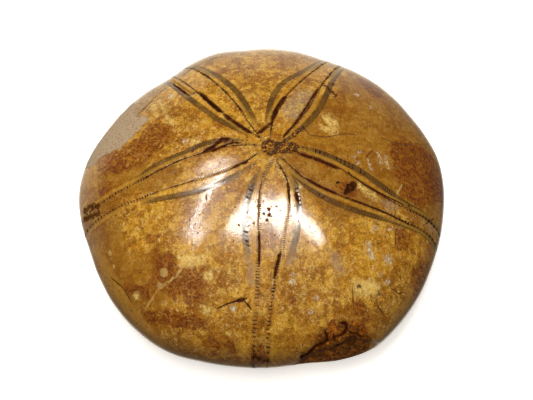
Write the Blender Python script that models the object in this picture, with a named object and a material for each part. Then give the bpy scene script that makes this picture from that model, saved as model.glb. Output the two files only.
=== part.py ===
"""Polished fossil sea urchin (an irregular echinoid), one solid body.

Lengths are in millimetres until the mesh is made, and bearings are degrees
counterclockwise from +X, seen from above. The shape is worked out round the
apex and then moved, so that the origin is the middle of the resting plane.
The body is a polar net: its meridians run along the pore rows of the five
petals, so that a few faces are enough for crisp grooves.
"""

import bpy
import numpy as np

MM = 0.001
NODE = "fossil_sea_urchin"

# Body
HEIGHT = 31.0             # resting plane to apex
MARGIN_HEIGHT = 10.0      # height of the widest line round the body
DOME_FLATTENING = 1.7     # power of the share of the radius, higher is flatter on top
DOME_SHOULDER = 0.5       # power of the whole, lower is a squarer shoulder
TUCK = 9.0                # how far the rounded margin turns in below its widest line
# Apex to margin, one every 10 degrees from +X
MARGIN_RADII = (45.2, 45.1, 44.3, 43.6, 43.5, 43.4, 43.1, 43.0, 43.8,
                44.3, 44.5, 45.5, 45.2, 44.5, 45.6, 46.8, 47.9, 49.5,
                50.5, 50.5, 50.2, 51.0, 52.1, 52.9, 53.1, 51.9, 51.0,
                50.4, 49.9, 51.2, 51.8, 50.3, 48.6, 47.0, 45.9, 45.3)

# Pore rows: half width and depth of each kind of groove
ROW_KINDS = {"outer": (0.75, 0.25), "inner": (0.4, 0.35), "crack": (0.6, 0.0)}
# Petals: bearing at the apex and at the margin, then how far each pore row lies
# from the petal's axis at each station, negative on the clockwise side.
STATIONS = (4.0, 11.0, 17.0, 23.0, 29.0, 35.0, 42.0)
PETAL_REACH = 44.0
BACK_LEFT, LEFT, FRONT, RIGHT, BACK_RIGHT = range(5)
PETALS = (
    (133.0, 126.0, (
        ("outer", (-0.8, -2.7, -4.5, -5.5, -5.3, -4.3, -2.4)),
        ("inner", (0.2, -1.1, -2.5, -3.1, -3.3, -3.0, -2.0)),
        ("inner", (0.3, 1.1, 1.7, 1.8, 2.1, 2.3, 2.4)),
        ("crack", (0.5, 1.8, 2.9, 3.3, 3.6, 3.8, 3.8)),
        ("outer", (0.8, 2.6, 4.2, 4.7, 5.2, 5.2, 5.0)))),
    (192.5, 194.5, (
        ("outer", (-1.8, -5.1, -6.3, -5.3, -4.8, -3.2, -2.4)),
        ("inner", (-1.6, -3.3, -3.5, -3.6, -2.9, -2.2, -2.0)),
        ("inner", (1.0, 3.4, 3.6, 3.5, 3.0, 2.6, 1.8)),
        ("outer", (2.0, 5.6, 6.8, 6.9, 5.5, 3.8, 2.3)))),
    (274.0, 266.7, (
        ("outer", (-0.8, -5.1, -6.8, -6.9, -5.9, -4.4, -2.6)),
        ("inner", (-0.6, -3.2, -3.7, -3.5, -3.0, -2.5, -1.8)),
        ("inner", (0.8, 3.7, 4.0, 3.1, 2.5, 1.8, 1.8)),
        ("outer", (1.4, 5.1, 6.4, 6.4, 5.2, 3.5, 2.5)))),
    (331.0, 337.5, (
        ("outer", (-2.2, -4.9, -6.5, -6.5, -5.3, -3.4, -1.4)),
        ("inner", (-1.6, -3.8, -4.4, -3.7, -2.9, -2.0, -0.6)),
        ("inner", (1.4, 2.8, 3.3, 2.5, 1.8, 1.8, 2.8)),
        ("outer", (2.2, 4.6, 5.2, 5.3, 4.2, 3.2, 3.4)))),
    (433.0, 426.0, (
        ("outer", (-2.6, -5.8, -7.0, -6.7, -5.6, -4.6, -3.4)),
        ("inner", (-1.8, -3.6, -4.4, -4.1, -3.8, -3.4, -2.6)),
        ("inner", (1.6, 3.0, 2.7, 1.7, 0.8, 0.4, 0.4)),
        ("outer", (2.6, 4.4, 5.6, 5.3, 2.8, 1.6, 1.4)))),
)
HALF_SECTOR = 180.0 / len(PETALS)
ROW_START = (2.4, 4.5)    # the rows fade in between these distances from the apex
NARROW_WITHIN = 12.0      # distance from the apex within which the grooves narrow towards it
LINE_GAP = 0.16           # least distance between two meridians of a petal
PETAL_GAP = 1.2           # least angle between the meridians of two petals
# Stretches worn deeper: petal, row, from, to, extra depth
DEEP_STRETCHES = (
    (BACK_LEFT, 2, 18.0, 30.5, 0.6),
    (BACK_LEFT, 3, 28.5, 41.0, 0.9),
    (LEFT, 0, 11.0, 18.0, 0.4),
    (LEFT, 1, 10.0, 18.0, 0.4),
    (FRONT, 3, 12.0, 17.0, 0.4),
)
STRETCH_FADE = 2.0        # over which a deep stretch begins and ends

# Apical disc: a shallow ringed pit at the top
DISC_RADIUS = 2.6
DISC_FLOOR_RADIUS = 1.8
DISC_DEPTH = 0.35

# Flaked margin at the front right: bearing and height along the broken edge
BROKEN_BEARINGS = (274.0, 279.0, 283.0, 289.0, 293.0, 296.0, 300.0, 304.0)
BROKEN_HEIGHTS = (6.0, 11.0, 13.0, 14.2, 15.8, 14.2, 11.0, 6.0)
BROKEN_DEPTH = 0.9
BROKEN_EDGE_WIDTH = 1.8
BROKEN_FOOT = (6.5, 11.0)  # heights between which the sunk skin meets the sound one again

# Underside
FLAT_RING_INNER = 0.80    # share of the underside's radius where the hollow begins
HOLLOW_FLOOR = 0.15       # share where the hollow is deepest
HOLLOW_DEPTH = 2.2
MOUTH_OFFSET = (0.5, -5.0)  # from the apex, seen from above: the mouth lies a little forward
MOUTH_RADIUS = 4.2
MOUTH_WALL = 0.5          # plan width of the wall round the mouth
MOUTH_CORNER = 0.14       # share by which the mouth's five corners stand out
MOUTH_DEPTH = 2.2
LIP_RADIUS = 6.2          # crest of the five swellings round the mouth
LIP_HALF_WIDTH = 2.6
LIP_SWELL = 0.8
FURROW_DEPTH = 0.45
FURROW_HALF_WIDTH = 2.6
FURROW_ENDS = (8.0, 28.0)
FURROW_FADES = (3.0, 5.0)
VENT_BEARING = 100.0      # the second opening, near the back margin
VENT_DISTANCE = 24.0      # from the apex
VENT_LENGTH = 4.4         # half length, along its bearing
VENT_WIDTH = 3.0          # half width
VENT_DEPTH = 1.6

# Net
DOME_RINGS = 26
RIM_RINGS = 4
UNDER_SHARES = (0.93, 0.86, 0.80, 0.74, 0.68, 0.62, 0.55, 0.46, 0.37, 0.28, 0.21)
EVEN_WITHIN = (0.9, 0.3)      # shares between which the meridians even out on the underside
DRIFT_WITHIN = (0.95, 0.2)    # shares between which the rings move over to the mouth's centre
MOUTH_RINGS = (LIP_RADIUS, 5.2, MOUTH_RADIUS, MOUTH_RADIUS - MOUTH_WALL, 2.0)
GAP_LINES = 7                 # meridians between one petal and the next
BROKEN_GAP = 2                # the gap after the front petal, which holds the flaked margin
BROKEN_GAP_SHARE = 0.48       # share of that gap with closer meridians
BROKEN_GAP_LINES = (12, 4)    # within that share, and in the rest

# Finish
STONE_COLOR = (0.40, 0.20, 0.052, 1.0)
STONE_ROUGHNESS = 0.2


def clear_scene():
    for item in list(bpy.data.objects):
        bpy.data.objects.remove(item, do_unlink=True)


def smooth_step(value, start, end):
    share = np.clip((value - start) / (end - start), 0.0, 1.0)
    return share * share * (3.0 - 2.0 * share)


def groove(distance, half_width):
    """1 in the middle of a groove, 0 from its edges outwards."""
    return np.clip(1.0 - (distance / half_width) ** 2, 0.0, 1.0) ** 2


def smooth_curve(place, knots, values):
    """Height of a smooth curve through the values at the knots, level beyond its ends."""
    slopes = np.gradient(values, knots)
    piece = np.clip(np.searchsorted(knots, place, side="right") - 1, 0, len(knots) - 2)
    span = knots[piece + 1] - knots[piece]
    share = np.clip((place - knots[piece]) / span, 0.0, 1.0)
    start, rise = values[piece], values[piece + 1] - values[piece]
    leave, arrive = slopes[piece] * span, slopes[piece + 1] * span
    return (start + leave * share + (3.0 * rise - 2.0 * leave - arrive) * share ** 2
            + (leave + arrive - 2.0 * rise) * share ** 3)


def margin_radius(bearing):
    """Apex to margin, by a smooth closed curve through MARGIN_RADII."""
    count = len(MARGIN_RADII)
    steps = np.arange(-2, count + 3)
    values = np.array(MARGIN_RADII)[steps % count]
    return smooth_curve(np.mod(bearing, 360.0), steps * 360.0 / count, values)


def dome_height(share):
    bulge = (1.0 - np.clip(share, 0.0, 1.0) ** DOME_FLATTENING) ** DOME_SHOULDER
    return MARGIN_HEIGHT + (HEIGHT - MARGIN_HEIGHT) * bulge


def even_shares(count):
    """Shares of the radius whose rings are evenly spaced along the dome's curve."""
    fine = 1.0 - np.linspace(1.0, 0.0, 2000) ** 3
    radius = fine * np.mean(MARGIN_RADII)
    steps = np.hypot(np.diff(radius), np.diff(dome_height(fine)))
    travel = np.concatenate(([0.0], np.cumsum(steps)))
    return np.interp(np.linspace(0.0, travel[-1], count + 1)[1:], travel, fine)


def petal_bearing(petal, distance):
    start, end, _ = PETALS[petal]
    return start + (end - start) * np.clip(distance / PETAL_REACH, 0.0, 1.0)


def row_offset(petal, row, distance):
    """Signed distance of one pore row from its petal's axis."""
    _, offsets = PETALS[petal][2][row]
    offset = smooth_curve(distance, np.array(STATIONS), np.array(offsets))
    return offset * np.clip(distance / STATIONS[0], 0.0, 1.0)


def row_depth(petal, row, distance):
    """Depth of one pore row's groove at a distance from the apex."""
    kind, _ = PETALS[petal][2][row]
    depth = ROW_KINDS[kind][1] + 0.0 * distance
    for deep_petal, deep_row, start, end, extra in DEEP_STRETCHES:
        if (deep_petal, deep_row) == (petal, row):
            depth = depth + extra * (smooth_step(distance, start, start + STRETCH_FADE)
                                     * smooth_step(-distance, -end, STRETCH_FADE - end))
    return depth * smooth_step(distance, *ROW_START)


def petal_line_offsets(petal, distance):
    """Offsets of a petal's meridians: both edges and the middle of each row."""
    narrowing = min(1.0, distance / NARROW_WITHIN)
    offsets = []
    for row, (kind, _) in enumerate(PETALS[petal][2]):
        half_width = ROW_KINDS[kind][0] * narrowing
        middle = row_offset(petal, row, distance)
        offsets += [middle - half_width, middle, middle + half_width]
    gap = LINE_GAP * narrowing
    centre = len(offsets) // 2
    for line in range(centre + 1, len(offsets)):
        offsets[line] = max(offsets[line], offsets[line - 1] + gap)
    for line in range(centre - 1, -1, -1):
        offsets[line] = min(offsets[line], offsets[line + 1] - gap)
    return offsets


def gap_shares(gap):
    """Places of the meridians between two petals, as shares of the gap."""
    if gap == BROKEN_GAP:
        close, wide = BROKEN_GAP_LINES
        near = np.linspace(0.0, BROKEN_GAP_SHARE, close + 1)[1:]
        far = np.linspace(BROKEN_GAP_SHARE, 1.0, wide + 2)[1:-1]
        return np.concatenate((near, far))
    return np.linspace(0.0, 1.0, GAP_LINES + 2)[1:-1]


def keep_apart(petals):
    """Eases the meridians of neighbouring petals apart where they would cross near the apex."""
    for petal, bearings in enumerate(petals):
        following = petals[(petal + 1) % len(petals)]
        width = np.mod(following[0] - bearings[-1] + 180.0, 360.0) - 180.0
        shift = max(0.0, PETAL_GAP - width) / 2.0
        bearings -= shift * np.linspace(0.0, 1.0, len(bearings))
        following += shift * np.linspace(1.0, 0.0, len(following))


def meridian_bearings(share):
    """Bearings of all meridians where they cross the ring at a share of the radius."""
    petals = []
    for petal in range(len(PETALS)):
        distance = share * margin_radius(petal_bearing(petal, PETAL_REACH * share))
        offsets = petal_line_offsets(petal, distance)
        petals.append(petal_bearing(petal, distance) + np.degrees(np.array(offsets) / distance))
    keep_apart(petals)
    lines = []
    for petal, bearings in enumerate(petals):
        following = petals[(petal + 1) % len(petals)][0]
        width = (following - bearings[-1]) % 360.0
        lines.append(bearings)
        lines.append(bearings[-1] + gap_shares(petal) * width)
    return np.concatenate(lines)


def petal_relief(bearing, distance):
    """How deep the grooves of all pore rows are at points given from the apex."""
    depth = np.zeros_like(distance)
    for petal in range(len(PETALS)):
        turn = np.mod(bearing - petal_bearing(petal, distance) + 180.0, 360.0) - 180.0
        across = np.radians(turn) * distance
        for row, (kind, _) in enumerate(PETALS[petal][2]):
            off = across - row_offset(petal, row, distance)
            half_width = ROW_KINDS[kind][0] * np.minimum(1.0, distance / NARROW_WITHIN)
            shape = groove(off, half_width)
            depth = np.maximum(depth, row_depth(petal, row, distance) * shape)
    return depth


def broken_relief(bearing, height):
    """How far the flaked skin at the front right margin is sunk."""
    turn = np.mod(bearing, 360.0)
    edge = smooth_curve(turn, np.array(BROKEN_BEARINGS), np.array(BROKEN_HEIGHTS))
    return (BROKEN_DEPTH * smooth_step(edge - height, 0.0, BROKEN_EDGE_WIDTH)
            * smooth_step(height, *BROKEN_FOOT))


def disc_relief(distance):
    return DISC_DEPTH * smooth_step(-distance, -DISC_RADIUS, -DISC_FLOOR_RADIUS)


def net_normals(rings):
    """Outward normals of the net, from the differences between neighbouring points."""
    around = np.roll(rings, -1, axis=1) - np.roll(rings, 1, axis=1)
    down = np.gradient(rings, axis=0)
    normals = np.cross(down, around)
    return normals / np.linalg.norm(normals, axis=2, keepdims=True)


def polar_points(bearing, distance, height):
    angle = np.radians(bearing)
    return np.stack((distance * np.cos(angle), distance * np.sin(angle), height), axis=-1)


def upper_rings():
    """Rings from the apex down to the resting plane, with all relief."""
    rows = []
    reliefs = []
    for share in even_shares(DOME_RINGS):
        bearing = meridian_bearings(share)
        distance = share * margin_radius(bearing)
        height = dome_height(share) + 0.0 * bearing
        rows.append(polar_points(bearing, distance, height))
        reliefs.append(petal_relief(bearing, distance) + broken_relief(bearing, height)
                       + disc_relief(distance))
    bearing = meridian_bearings(1.0)
    for turn in np.linspace(0.0, np.pi / 2.0, RIM_RINGS + 1)[1:]:
        distance = margin_radius(bearing) - TUCK * (1.0 - np.cos(turn))
        height = MARGIN_HEIGHT * (1.0 - np.sin(turn)) + 0.0 * bearing
        rows.append(polar_points(bearing, distance, height))
        fading = petal_relief(bearing, margin_radius(bearing)) * np.cos(turn)
        reliefs.append(fading + broken_relief(bearing, height))
    rings = np.array(rows)
    return rings - net_normals(rings) * np.array(reliefs)[:, :, None]


def turn_from_petals(bearing):
    """Degrees from each bearing to the axis of the nearest petal."""
    axes = np.array([petal[1] for petal in PETALS])
    turns = np.mod(bearing[:, None] - axes[None, :] + 180.0, 360.0) - 180.0
    return np.min(np.abs(turns), axis=1)


def mouth_outline(bearing):
    """The five-cornered outline of the mouth, as a factor on its radius."""
    return 1.0 + MOUTH_CORNER * np.cos(np.pi * turn_from_petals(bearing) / HALF_SECTOR)


def under_height(share, bearing, distance):
    """Height of the underside above the resting plane."""
    turn = turn_from_petals(bearing)
    hollow = HOLLOW_DEPTH * smooth_step(-share, -FLAT_RING_INNER, -HOLLOW_FLOOR)
    furrow = (FURROW_DEPTH * groove(np.radians(turn) * distance, FURROW_HALF_WIDTH)
              * smooth_step(distance, FURROW_ENDS[0] - FURROW_FADES[0], FURROW_ENDS[0])
              * smooth_step(-distance, -FURROW_ENDS[1], FURROW_FADES[1] - FURROW_ENDS[1]))
    round_mouth = distance / mouth_outline(bearing)
    lip = (LIP_SWELL * (1.0 - np.cos(np.pi * turn / HALF_SECTOR)) / 2.0
           * groove(round_mouth - LIP_RADIUS, LIP_HALF_WIDTH))
    mouth = MOUTH_DEPTH * smooth_step(-round_mouth, -MOUTH_RADIUS, MOUTH_WALL - MOUTH_RADIUS)
    return hollow + furrow - lip + mouth


def vent_relief(points):
    """The second opening: an oval pit in the hollow, near the back margin."""
    angle = np.radians(VENT_BEARING)
    out = np.array((np.cos(angle), np.sin(angle)))
    along = points[:, 0] * out[0] + points[:, 1] * out[1] - VENT_DISTANCE
    across = points[:, 1] * out[0] - points[:, 0] * out[1]
    return VENT_DEPTH * groove(np.hypot(along / VENT_LENGTH, across / VENT_WIDTH), 1.0)


def under_ring(share, mouth_ring=None):
    """One ring of the underside, at a share of its radius or at a distance from the mouth."""
    margin = meridian_bearings(1.0)
    even = margin[0] + np.linspace(0.0, 360.0, len(margin) + 1)[:-1]
    base = margin_radius(margin) - TUCK
    spread = smooth_step(-share, -EVEN_WITHIN[0], -EVEN_WITHIN[1])
    bearing = margin + (even - margin) * spread
    if mouth_ring is None:
        distance = share * (base + (np.mean(base) - base) * spread)
    else:
        distance = mouth_ring * mouth_outline(bearing)
    points = polar_points(bearing, distance, np.zeros_like(bearing))
    points[:, :2] += np.array(MOUTH_OFFSET) * smooth_step(-share, -DRIFT_WITHIN[0], -DRIFT_WITHIN[1])
    points[:, 2] = under_height(share, bearing, distance) + vent_relief(points)
    return points


def under_rings():
    """Rings from the flat resting ring in to the middle of the mouth."""
    wide = [under_ring(share) for share in UNDER_SHARES]
    base = np.mean(MARGIN_RADII) - TUCK
    near = [under_ring(ring / base, ring) for ring in MOUTH_RINGS]
    return np.array(wide + near)


def build_mesh():
    rings = np.concatenate((upper_rings(), under_rings()))
    ring_count, line_count, _ = rings.shape
    top = np.array([[0.0, 0.0, HEIGHT - DISC_DEPTH]])
    middle = rings[-1].mean(axis=0)[None, :]
    points = np.concatenate((rings.reshape(-1, 3), top, middle))
    low, high = points.min(axis=0), points.max(axis=0)
    points[:, :2] -= (low[:2] + high[:2]) / 2.0
    top_index = ring_count * line_count
    faces = []
    for line in range(line_count):
        following = (line + 1) % line_count
        faces.append((top_index, line, following))
        for ring in range(ring_count - 1):
            upper = ring * line_count
            lower = upper + line_count
            faces.append((upper + line, lower + line, lower + following, upper + following))
        last = (ring_count - 1) * line_count
        faces.append((last + line, top_index + 1, last + following))
    mesh = bpy.data.meshes.new(NODE)
    mesh.from_pydata((points * MM).tolist(), [], faces)
    mesh.shade_smooth()
    return mesh


def polished_stone():
    material = bpy.data.materials.new("polished_stone")
    material.use_nodes = True
    shader = material.node_tree.nodes["Principled BSDF"]
    shader.inputs["Base Color"].default_value = STONE_COLOR
    shader.inputs["Roughness"].default_value = STONE_ROUGHNESS
    shader.inputs["Metallic"].default_value = 0.0
    return material


def main():
    clear_scene()
    urchin = bpy.data.objects.new(NODE, build_mesh())
    urchin.data.materials.append(polished_stone())
    bpy.context.scene.collection.objects.link(urchin)


main()
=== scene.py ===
"""Looks of the polished fossil sea urchin: carved and mottled stone, studio light and camera.

Lengths are millimetres until the mesh is made, and bearings are degrees counterclockwise from
+X. Marks are placed by pixels of the 533 x 400 photograph, which are cast onto the body from
the photograph's own camera.
"""
import math

import bpy
import numpy as np
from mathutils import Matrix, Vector
from mathutils.bvhtree import BVHTree


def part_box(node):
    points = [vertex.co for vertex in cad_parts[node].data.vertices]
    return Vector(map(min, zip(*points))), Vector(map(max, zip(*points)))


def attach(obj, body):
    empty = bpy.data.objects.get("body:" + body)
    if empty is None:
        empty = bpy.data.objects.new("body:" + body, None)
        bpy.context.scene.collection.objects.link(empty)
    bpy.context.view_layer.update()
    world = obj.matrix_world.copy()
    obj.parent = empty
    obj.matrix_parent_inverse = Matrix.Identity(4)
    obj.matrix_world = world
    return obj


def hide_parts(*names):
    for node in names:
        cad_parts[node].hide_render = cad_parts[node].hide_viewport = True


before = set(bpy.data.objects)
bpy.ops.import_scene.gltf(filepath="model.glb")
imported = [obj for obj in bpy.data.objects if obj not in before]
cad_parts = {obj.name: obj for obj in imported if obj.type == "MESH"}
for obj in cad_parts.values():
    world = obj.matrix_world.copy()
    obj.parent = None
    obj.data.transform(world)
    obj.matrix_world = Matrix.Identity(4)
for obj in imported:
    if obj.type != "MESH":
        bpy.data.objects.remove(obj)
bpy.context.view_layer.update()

MM = 0.001
NODE = "fossil_sea_urchin"
PIECE = "polished_urchin"

FAR = 99.0                # mm, stands for nowhere near

# ---------------------------------------------------------------- body
# The form of the CAD solid on a finer net. The pore rows and the disc at the apex are
# shallower here than in the solid, because their look is mostly colour, and the rows are
# 0.05 mm wider to each side.
HEIGHT = 31.0             # resting plane to apex
MARGIN_HEIGHT = 10.0      # height of the widest line round the body
DOME_FLATTENING = 1.7     # power of the share of the radius, higher is flatter on top
DOME_SHOULDER = 0.5       # power of the whole, lower is a squarer shoulder
TUCK = 9.0                # how far the rounded margin turns in below its widest line
# Apex to margin, one every 10 degrees from +X
MARGIN_RADII = (45.2, 45.1, 44.3, 43.6, 43.5, 43.4, 43.1, 43.0, 43.8,
                44.3, 44.5, 45.5, 45.2, 44.5, 45.6, 46.8, 47.9, 49.5,
                50.5, 50.5, 50.2, 51.0, 52.1, 52.9, 53.1, 51.9, 51.0,
                50.4, 49.9, 51.2, 51.8, 50.3, 48.6, 47.0, 45.9, 45.3)

# Pore rows: half width and depth of each kind of groove
ROW_KINDS = {"outer": (0.8, 0.015), "inner": (0.45, 0.02), "crack": (0.6, 0.0)}
NARROW_WITHIN = 12.0      # distance from the apex within which the rows narrow towards it
# Petals: bearing at the apex and at PETAL_REACH, then how far each pore row lies from the
# petal's axis at each station, negative on the clockwise side
STATIONS = (4.0, 11.0, 17.0, 23.0, 29.0, 35.0, 42.0)
PETAL_REACH = 44.0
BACK_LEFT, LEFT, FRONT = range(3)     # then the right and the back right one
PETALS = (
    (133.0, 126.0, (
        ("outer", (-0.8, -2.7, -4.5, -5.5, -5.3, -4.3, -2.4)),
        ("inner", (0.2, -1.1, -2.5, -3.1, -3.3, -3.0, -2.0)),
        ("inner", (0.3, 1.1, 1.7, 1.8, 2.1, 2.3, 2.4)),
        ("crack", (0.5, 1.8, 2.9, 3.3, 3.6, 3.8, 3.8)),
        ("outer", (0.8, 2.6, 4.2, 4.7, 5.2, 5.2, 5.0)))),
    (192.5, 194.5, (
        ("outer", (-1.8, -5.1, -6.3, -5.3, -4.8, -3.2, -2.4)),
        ("inner", (-1.6, -3.3, -3.5, -3.6, -2.9, -2.2, -2.0)),
        ("inner", (1.0, 3.4, 3.6, 3.5, 3.0, 2.6, 1.8)),
        ("outer", (2.0, 5.6, 6.8, 6.9, 5.5, 3.8, 2.3)))),
    (274.0, 266.7, (
        ("outer", (-0.8, -5.1, -6.8, -6.9, -5.9, -4.4, -2.6)),
        ("inner", (-0.6, -3.2, -3.7, -3.5, -3.0, -2.5, -1.8)),
        ("inner", (0.8, 3.7, 4.0, 3.1, 2.5, 1.8, 1.8)),
        ("outer", (1.4, 5.1, 6.4, 6.4, 5.2, 3.5, 2.5)))),
    (331.0, 337.5, (
        ("outer", (-2.2, -4.9, -6.5, -6.5, -5.3, -3.4, -1.4)),
        ("inner", (-1.6, -3.8, -4.4, -3.7, -2.9, -2.0, -0.6)),
        ("inner", (1.4, 2.8, 3.3, 2.5, 1.8, 1.8, 2.8)),
        ("outer", (2.2, 4.6, 5.2, 5.3, 4.2, 3.2, 3.4)))),
    (433.0, 426.0, (
        ("outer", (-2.6, -5.8, -7.0, -6.7, -5.6, -4.6, -3.4)),
        ("inner", (-1.8, -3.6, -4.4, -4.1, -3.8, -3.4, -2.6)),
        ("inner", (1.6, 3.0, 2.7, 1.7, 0.8, 0.4, 0.4)),
        ("outer", (2.6, 4.4, 5.6, 5.3, 2.8, 1.6, 1.4)))),
)
HALF_SECTOR = 180.0 / len(PETALS)
ROW_START = (2.4, 4.5)    # the rows fade in between these distances from the apex
LINE_GAP = 0.16           # least distance between two net lines of a petal
PETAL_GAP = 1.2           # least angle between the net lines of two petals
# Stretches worn deeper: petal, row, from, to, extra depth
DEEP_STRETCHES = (
    (BACK_LEFT, 2, 18.0, 30.5, 0.6),
    (BACK_LEFT, 3, 28.5, 41.0, 0.9),
    (LEFT, 0, 11.0, 18.0, 0.02),
    (LEFT, 1, 10.0, 18.0, 0.02),
    (FRONT, 3, 12.0, 17.0, 0.03),
)
STRETCH_FADE = 2.0

# Apical disc
DISC_RADIUS = 2.6
DISC_FLOOR_SHARE = 0.7    # share of that radius where its floor begins
DISC_DEPTH = 0.15

# Flaked margin at the front right: bearing and height along the broken edge
BROKEN_BEARINGS = (274.0, 279.0, 283.0, 289.0, 293.0, 296.0, 300.0, 304.0)
BROKEN_HEIGHTS = (6.0, 11.0, 13.0, 14.2, 15.8, 14.2, 11.0, 6.0)
BROKEN_DEPTH = 0.9
BROKEN_EDGE_WIDTH = 1.8
BROKEN_FOOT = (6.5, 11.0)

# Underside
FLAT_RING_INNER = 0.80    # share of the underside's radius where the hollow begins
HOLLOW_FLOOR = 0.15       # share where the hollow is deepest
HOLLOW_DEPTH = 2.2
MOUTH_OFFSET = (0.5, -5.0)
MOUTH_RADIUS = 4.2
MOUTH_WALL = 0.5
MOUTH_CORNER = 0.14
MOUTH_DEPTH = 2.2
LIP_RADIUS = 6.2
LIP_HALF_WIDTH = 2.6
LIP_SWELL = 0.8
FURROW_DEPTH = 0.45
FURROW_HALF_WIDTH = 2.6
FURROW_ENDS = (8.0, 28.0)
FURROW_FADES = (3.0, 5.0)
VENT_BEARING = 100.0      # the second opening, near the back margin
VENT_DISTANCE = 24.0
VENT_LENGTH = 4.4         # half length
VENT_WIDTH = 3.0          # half width
VENT_DEPTH = 1.6

SWELLS = (0.030, 0.015)   # heights of the low swells of the hand polish
CALM_HEIGHTS = (2.0, 9.0)  # the skin's own relief fades out between these, downwards

# ---------------------------------------------------------------- fine net
DOME_RINGS = 112
RIM_RINGS = 9
UNDER_SHARES = np.linspace(0.965, 0.21, 22)
EVEN_WITHIN = (0.9, 0.3)      # shares between which the net lines even out on the underside
DRIFT_WITHIN = (0.95, 0.2)    # shares between which the rings move to the mouth's centre
MOUTH_RINGS = (*np.linspace(7.2, 4.6, 6), *np.linspace(MOUTH_RADIUS, 3.6, 4), 2.9, 2.0, 1.0)
GROOVE_STEPS = 4          # net lines across each half of a groove
STRIP_STEPS = 4           # between the two rows of one side
CENTRE_STEPS = 14         # between the two inner rows
GAP_LINES = 56            # between one petal and the next
BROKEN_GAP = 2            # the gap after the front petal, which holds the flaked margin
BROKEN_GAP_SHARE = 0.48   # share of that gap with closer lines
BROKEN_GAP_LINES = (86, 28)

# ---------------------------------------------------------------- camera of the photograph
FRAME_WIDTH = 533
FRAME_HEIGHT = 400
CAMERA_ELEVATION = 58.0
CAMERA_DISTANCE = 480.0
CAMERA_TARGET = (1.28, 1.66, 8.0)
PIXELS_PER_MM = 3.80      # at the target
SENSOR_WIDTH = 36.0
CLIP_START = 0.01         # metres


def smooth_step(value, start, end):
    share = np.clip((value - start) / (end - start), 0.0, 1.0)
    return share * share * (3.0 - 2.0 * share)


def groove(distance, half_width):
    """1 in the middle of a groove, 0 from its edges outwards."""
    return np.clip(1.0 - (distance / half_width) ** 2, 0.0, 1.0) ** 2


def smooth_curve(place, knots, values):
    """Height of a smooth curve through the values at the knots, level beyond its ends."""
    slopes = np.gradient(values, knots)
    piece = np.clip(np.searchsorted(knots, place, side="right") - 1, 0, len(knots) - 2)
    span = knots[piece + 1] - knots[piece]
    share = np.clip((place - knots[piece]) / span, 0.0, 1.0)
    start, rise = values[piece], values[piece + 1] - values[piece]
    leave, arrive = slopes[piece] * span, slopes[piece + 1] * span
    return (start + leave * share + (3.0 * rise - 2.0 * leave - arrive) * share ** 2
            + (leave + arrive - 2.0 * rise) * share ** 3)


def half_turn(angle):
    """The same angle, between -180 and 180 degrees."""
    return np.mod(angle + 180.0, 360.0) - 180.0


def margin_radius(bearing):
    """Apex to margin, by a smooth closed curve through MARGIN_RADII."""
    count = len(MARGIN_RADII)
    steps = np.arange(-2, count + 3)
    values = np.array(MARGIN_RADII)[steps % count]
    return smooth_curve(np.mod(bearing, 360.0), steps * 360.0 / count, values)


def dome_height(share):
    bulge = (1.0 - np.clip(share, 0.0, 1.0) ** DOME_FLATTENING) ** DOME_SHOULDER
    return MARGIN_HEIGHT + (HEIGHT - MARGIN_HEIGHT) * bulge


def even_shares(count):
    """Shares of the radius whose rings are evenly spaced along the dome's curve."""
    fine = 1.0 - np.linspace(1.0, 0.0, 2000) ** 3
    radius = fine * np.mean(MARGIN_RADII)
    steps = np.hypot(np.diff(radius), np.diff(dome_height(fine)))
    travel = np.concatenate(([0.0], np.cumsum(steps)))
    return np.interp(np.linspace(0.0, travel[-1], count + 1)[1:], travel, fine)


def petal_bearing(petal, distance):
    start, end, _ = PETALS[petal]
    return start + (end - start) * np.clip(distance / PETAL_REACH, 0.0, 1.0)


def row_offset(petal, row, distance):
    """Signed distance of one pore row from its petal's axis."""
    _, offsets = PETALS[petal][2][row]
    offset = smooth_curve(distance, np.array(STATIONS), np.array(offsets))
    return offset * np.clip(distance / STATIONS[0], 0.0, 1.0)


def row_depth(petal, row, distance):
    """Depth of one pore row's groove at a distance from the apex."""
    kind, _ = PETALS[petal][2][row]
    depth = np.full_like(distance, ROW_KINDS[kind][1])
    for deep_petal, deep_row, start, end, extra in DEEP_STRETCHES:
        if (deep_petal, deep_row) == (petal, row):
            depth = depth + extra * (smooth_step(distance, start, start + STRETCH_FADE)
                                     * smooth_step(-distance, -end, STRETCH_FADE - end))
    return depth * smooth_step(distance, *ROW_START)


def petal_line_offsets(petal, distance):
    """Offsets of a petal's net lines, which are closest across its grooves."""
    narrowing = min(1.0, distance / NARROW_WITHIN)
    rows = PETALS[petal][2]
    keys = []
    steps = []
    for row, (kind, _) in enumerate(rows):
        half_width = ROW_KINDS[kind][0] * narrowing
        middle = row_offset(petal, row, distance)
        keys += [middle - half_width, middle, middle + half_width]
        inner_pair = row + 1 < len(rows) and kind == "inner" and rows[row + 1][0] == "inner"
        steps += [GROOVE_STEPS, GROOVE_STEPS, CENTRE_STEPS if inner_pair else STRIP_STEPS]
    gap = LINE_GAP * narrowing
    centre = len(keys) // 2
    for line in range(centre + 1, len(keys)):
        keys[line] = max(keys[line], keys[line - 1] + gap)
    for line in range(centre - 1, -1, -1):
        keys[line] = min(keys[line], keys[line + 1] - gap)
    lines = [np.linspace(keys[key], keys[key + 1], steps[key] + 1)[:-1]
             for key in range(len(keys) - 1)]
    return np.concatenate(lines + [keys[-1:]])


def gap_shares(gap):
    """Places of the net lines between two petals, as shares of the gap."""
    if gap == BROKEN_GAP:
        close, wide = BROKEN_GAP_LINES
        near = np.linspace(0.0, BROKEN_GAP_SHARE, close + 1)[1:]
        far = np.linspace(BROKEN_GAP_SHARE, 1.0, wide + 2)[1:-1]
        return np.concatenate((near, far))
    return np.linspace(0.0, 1.0, GAP_LINES + 2)[1:-1]


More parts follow.
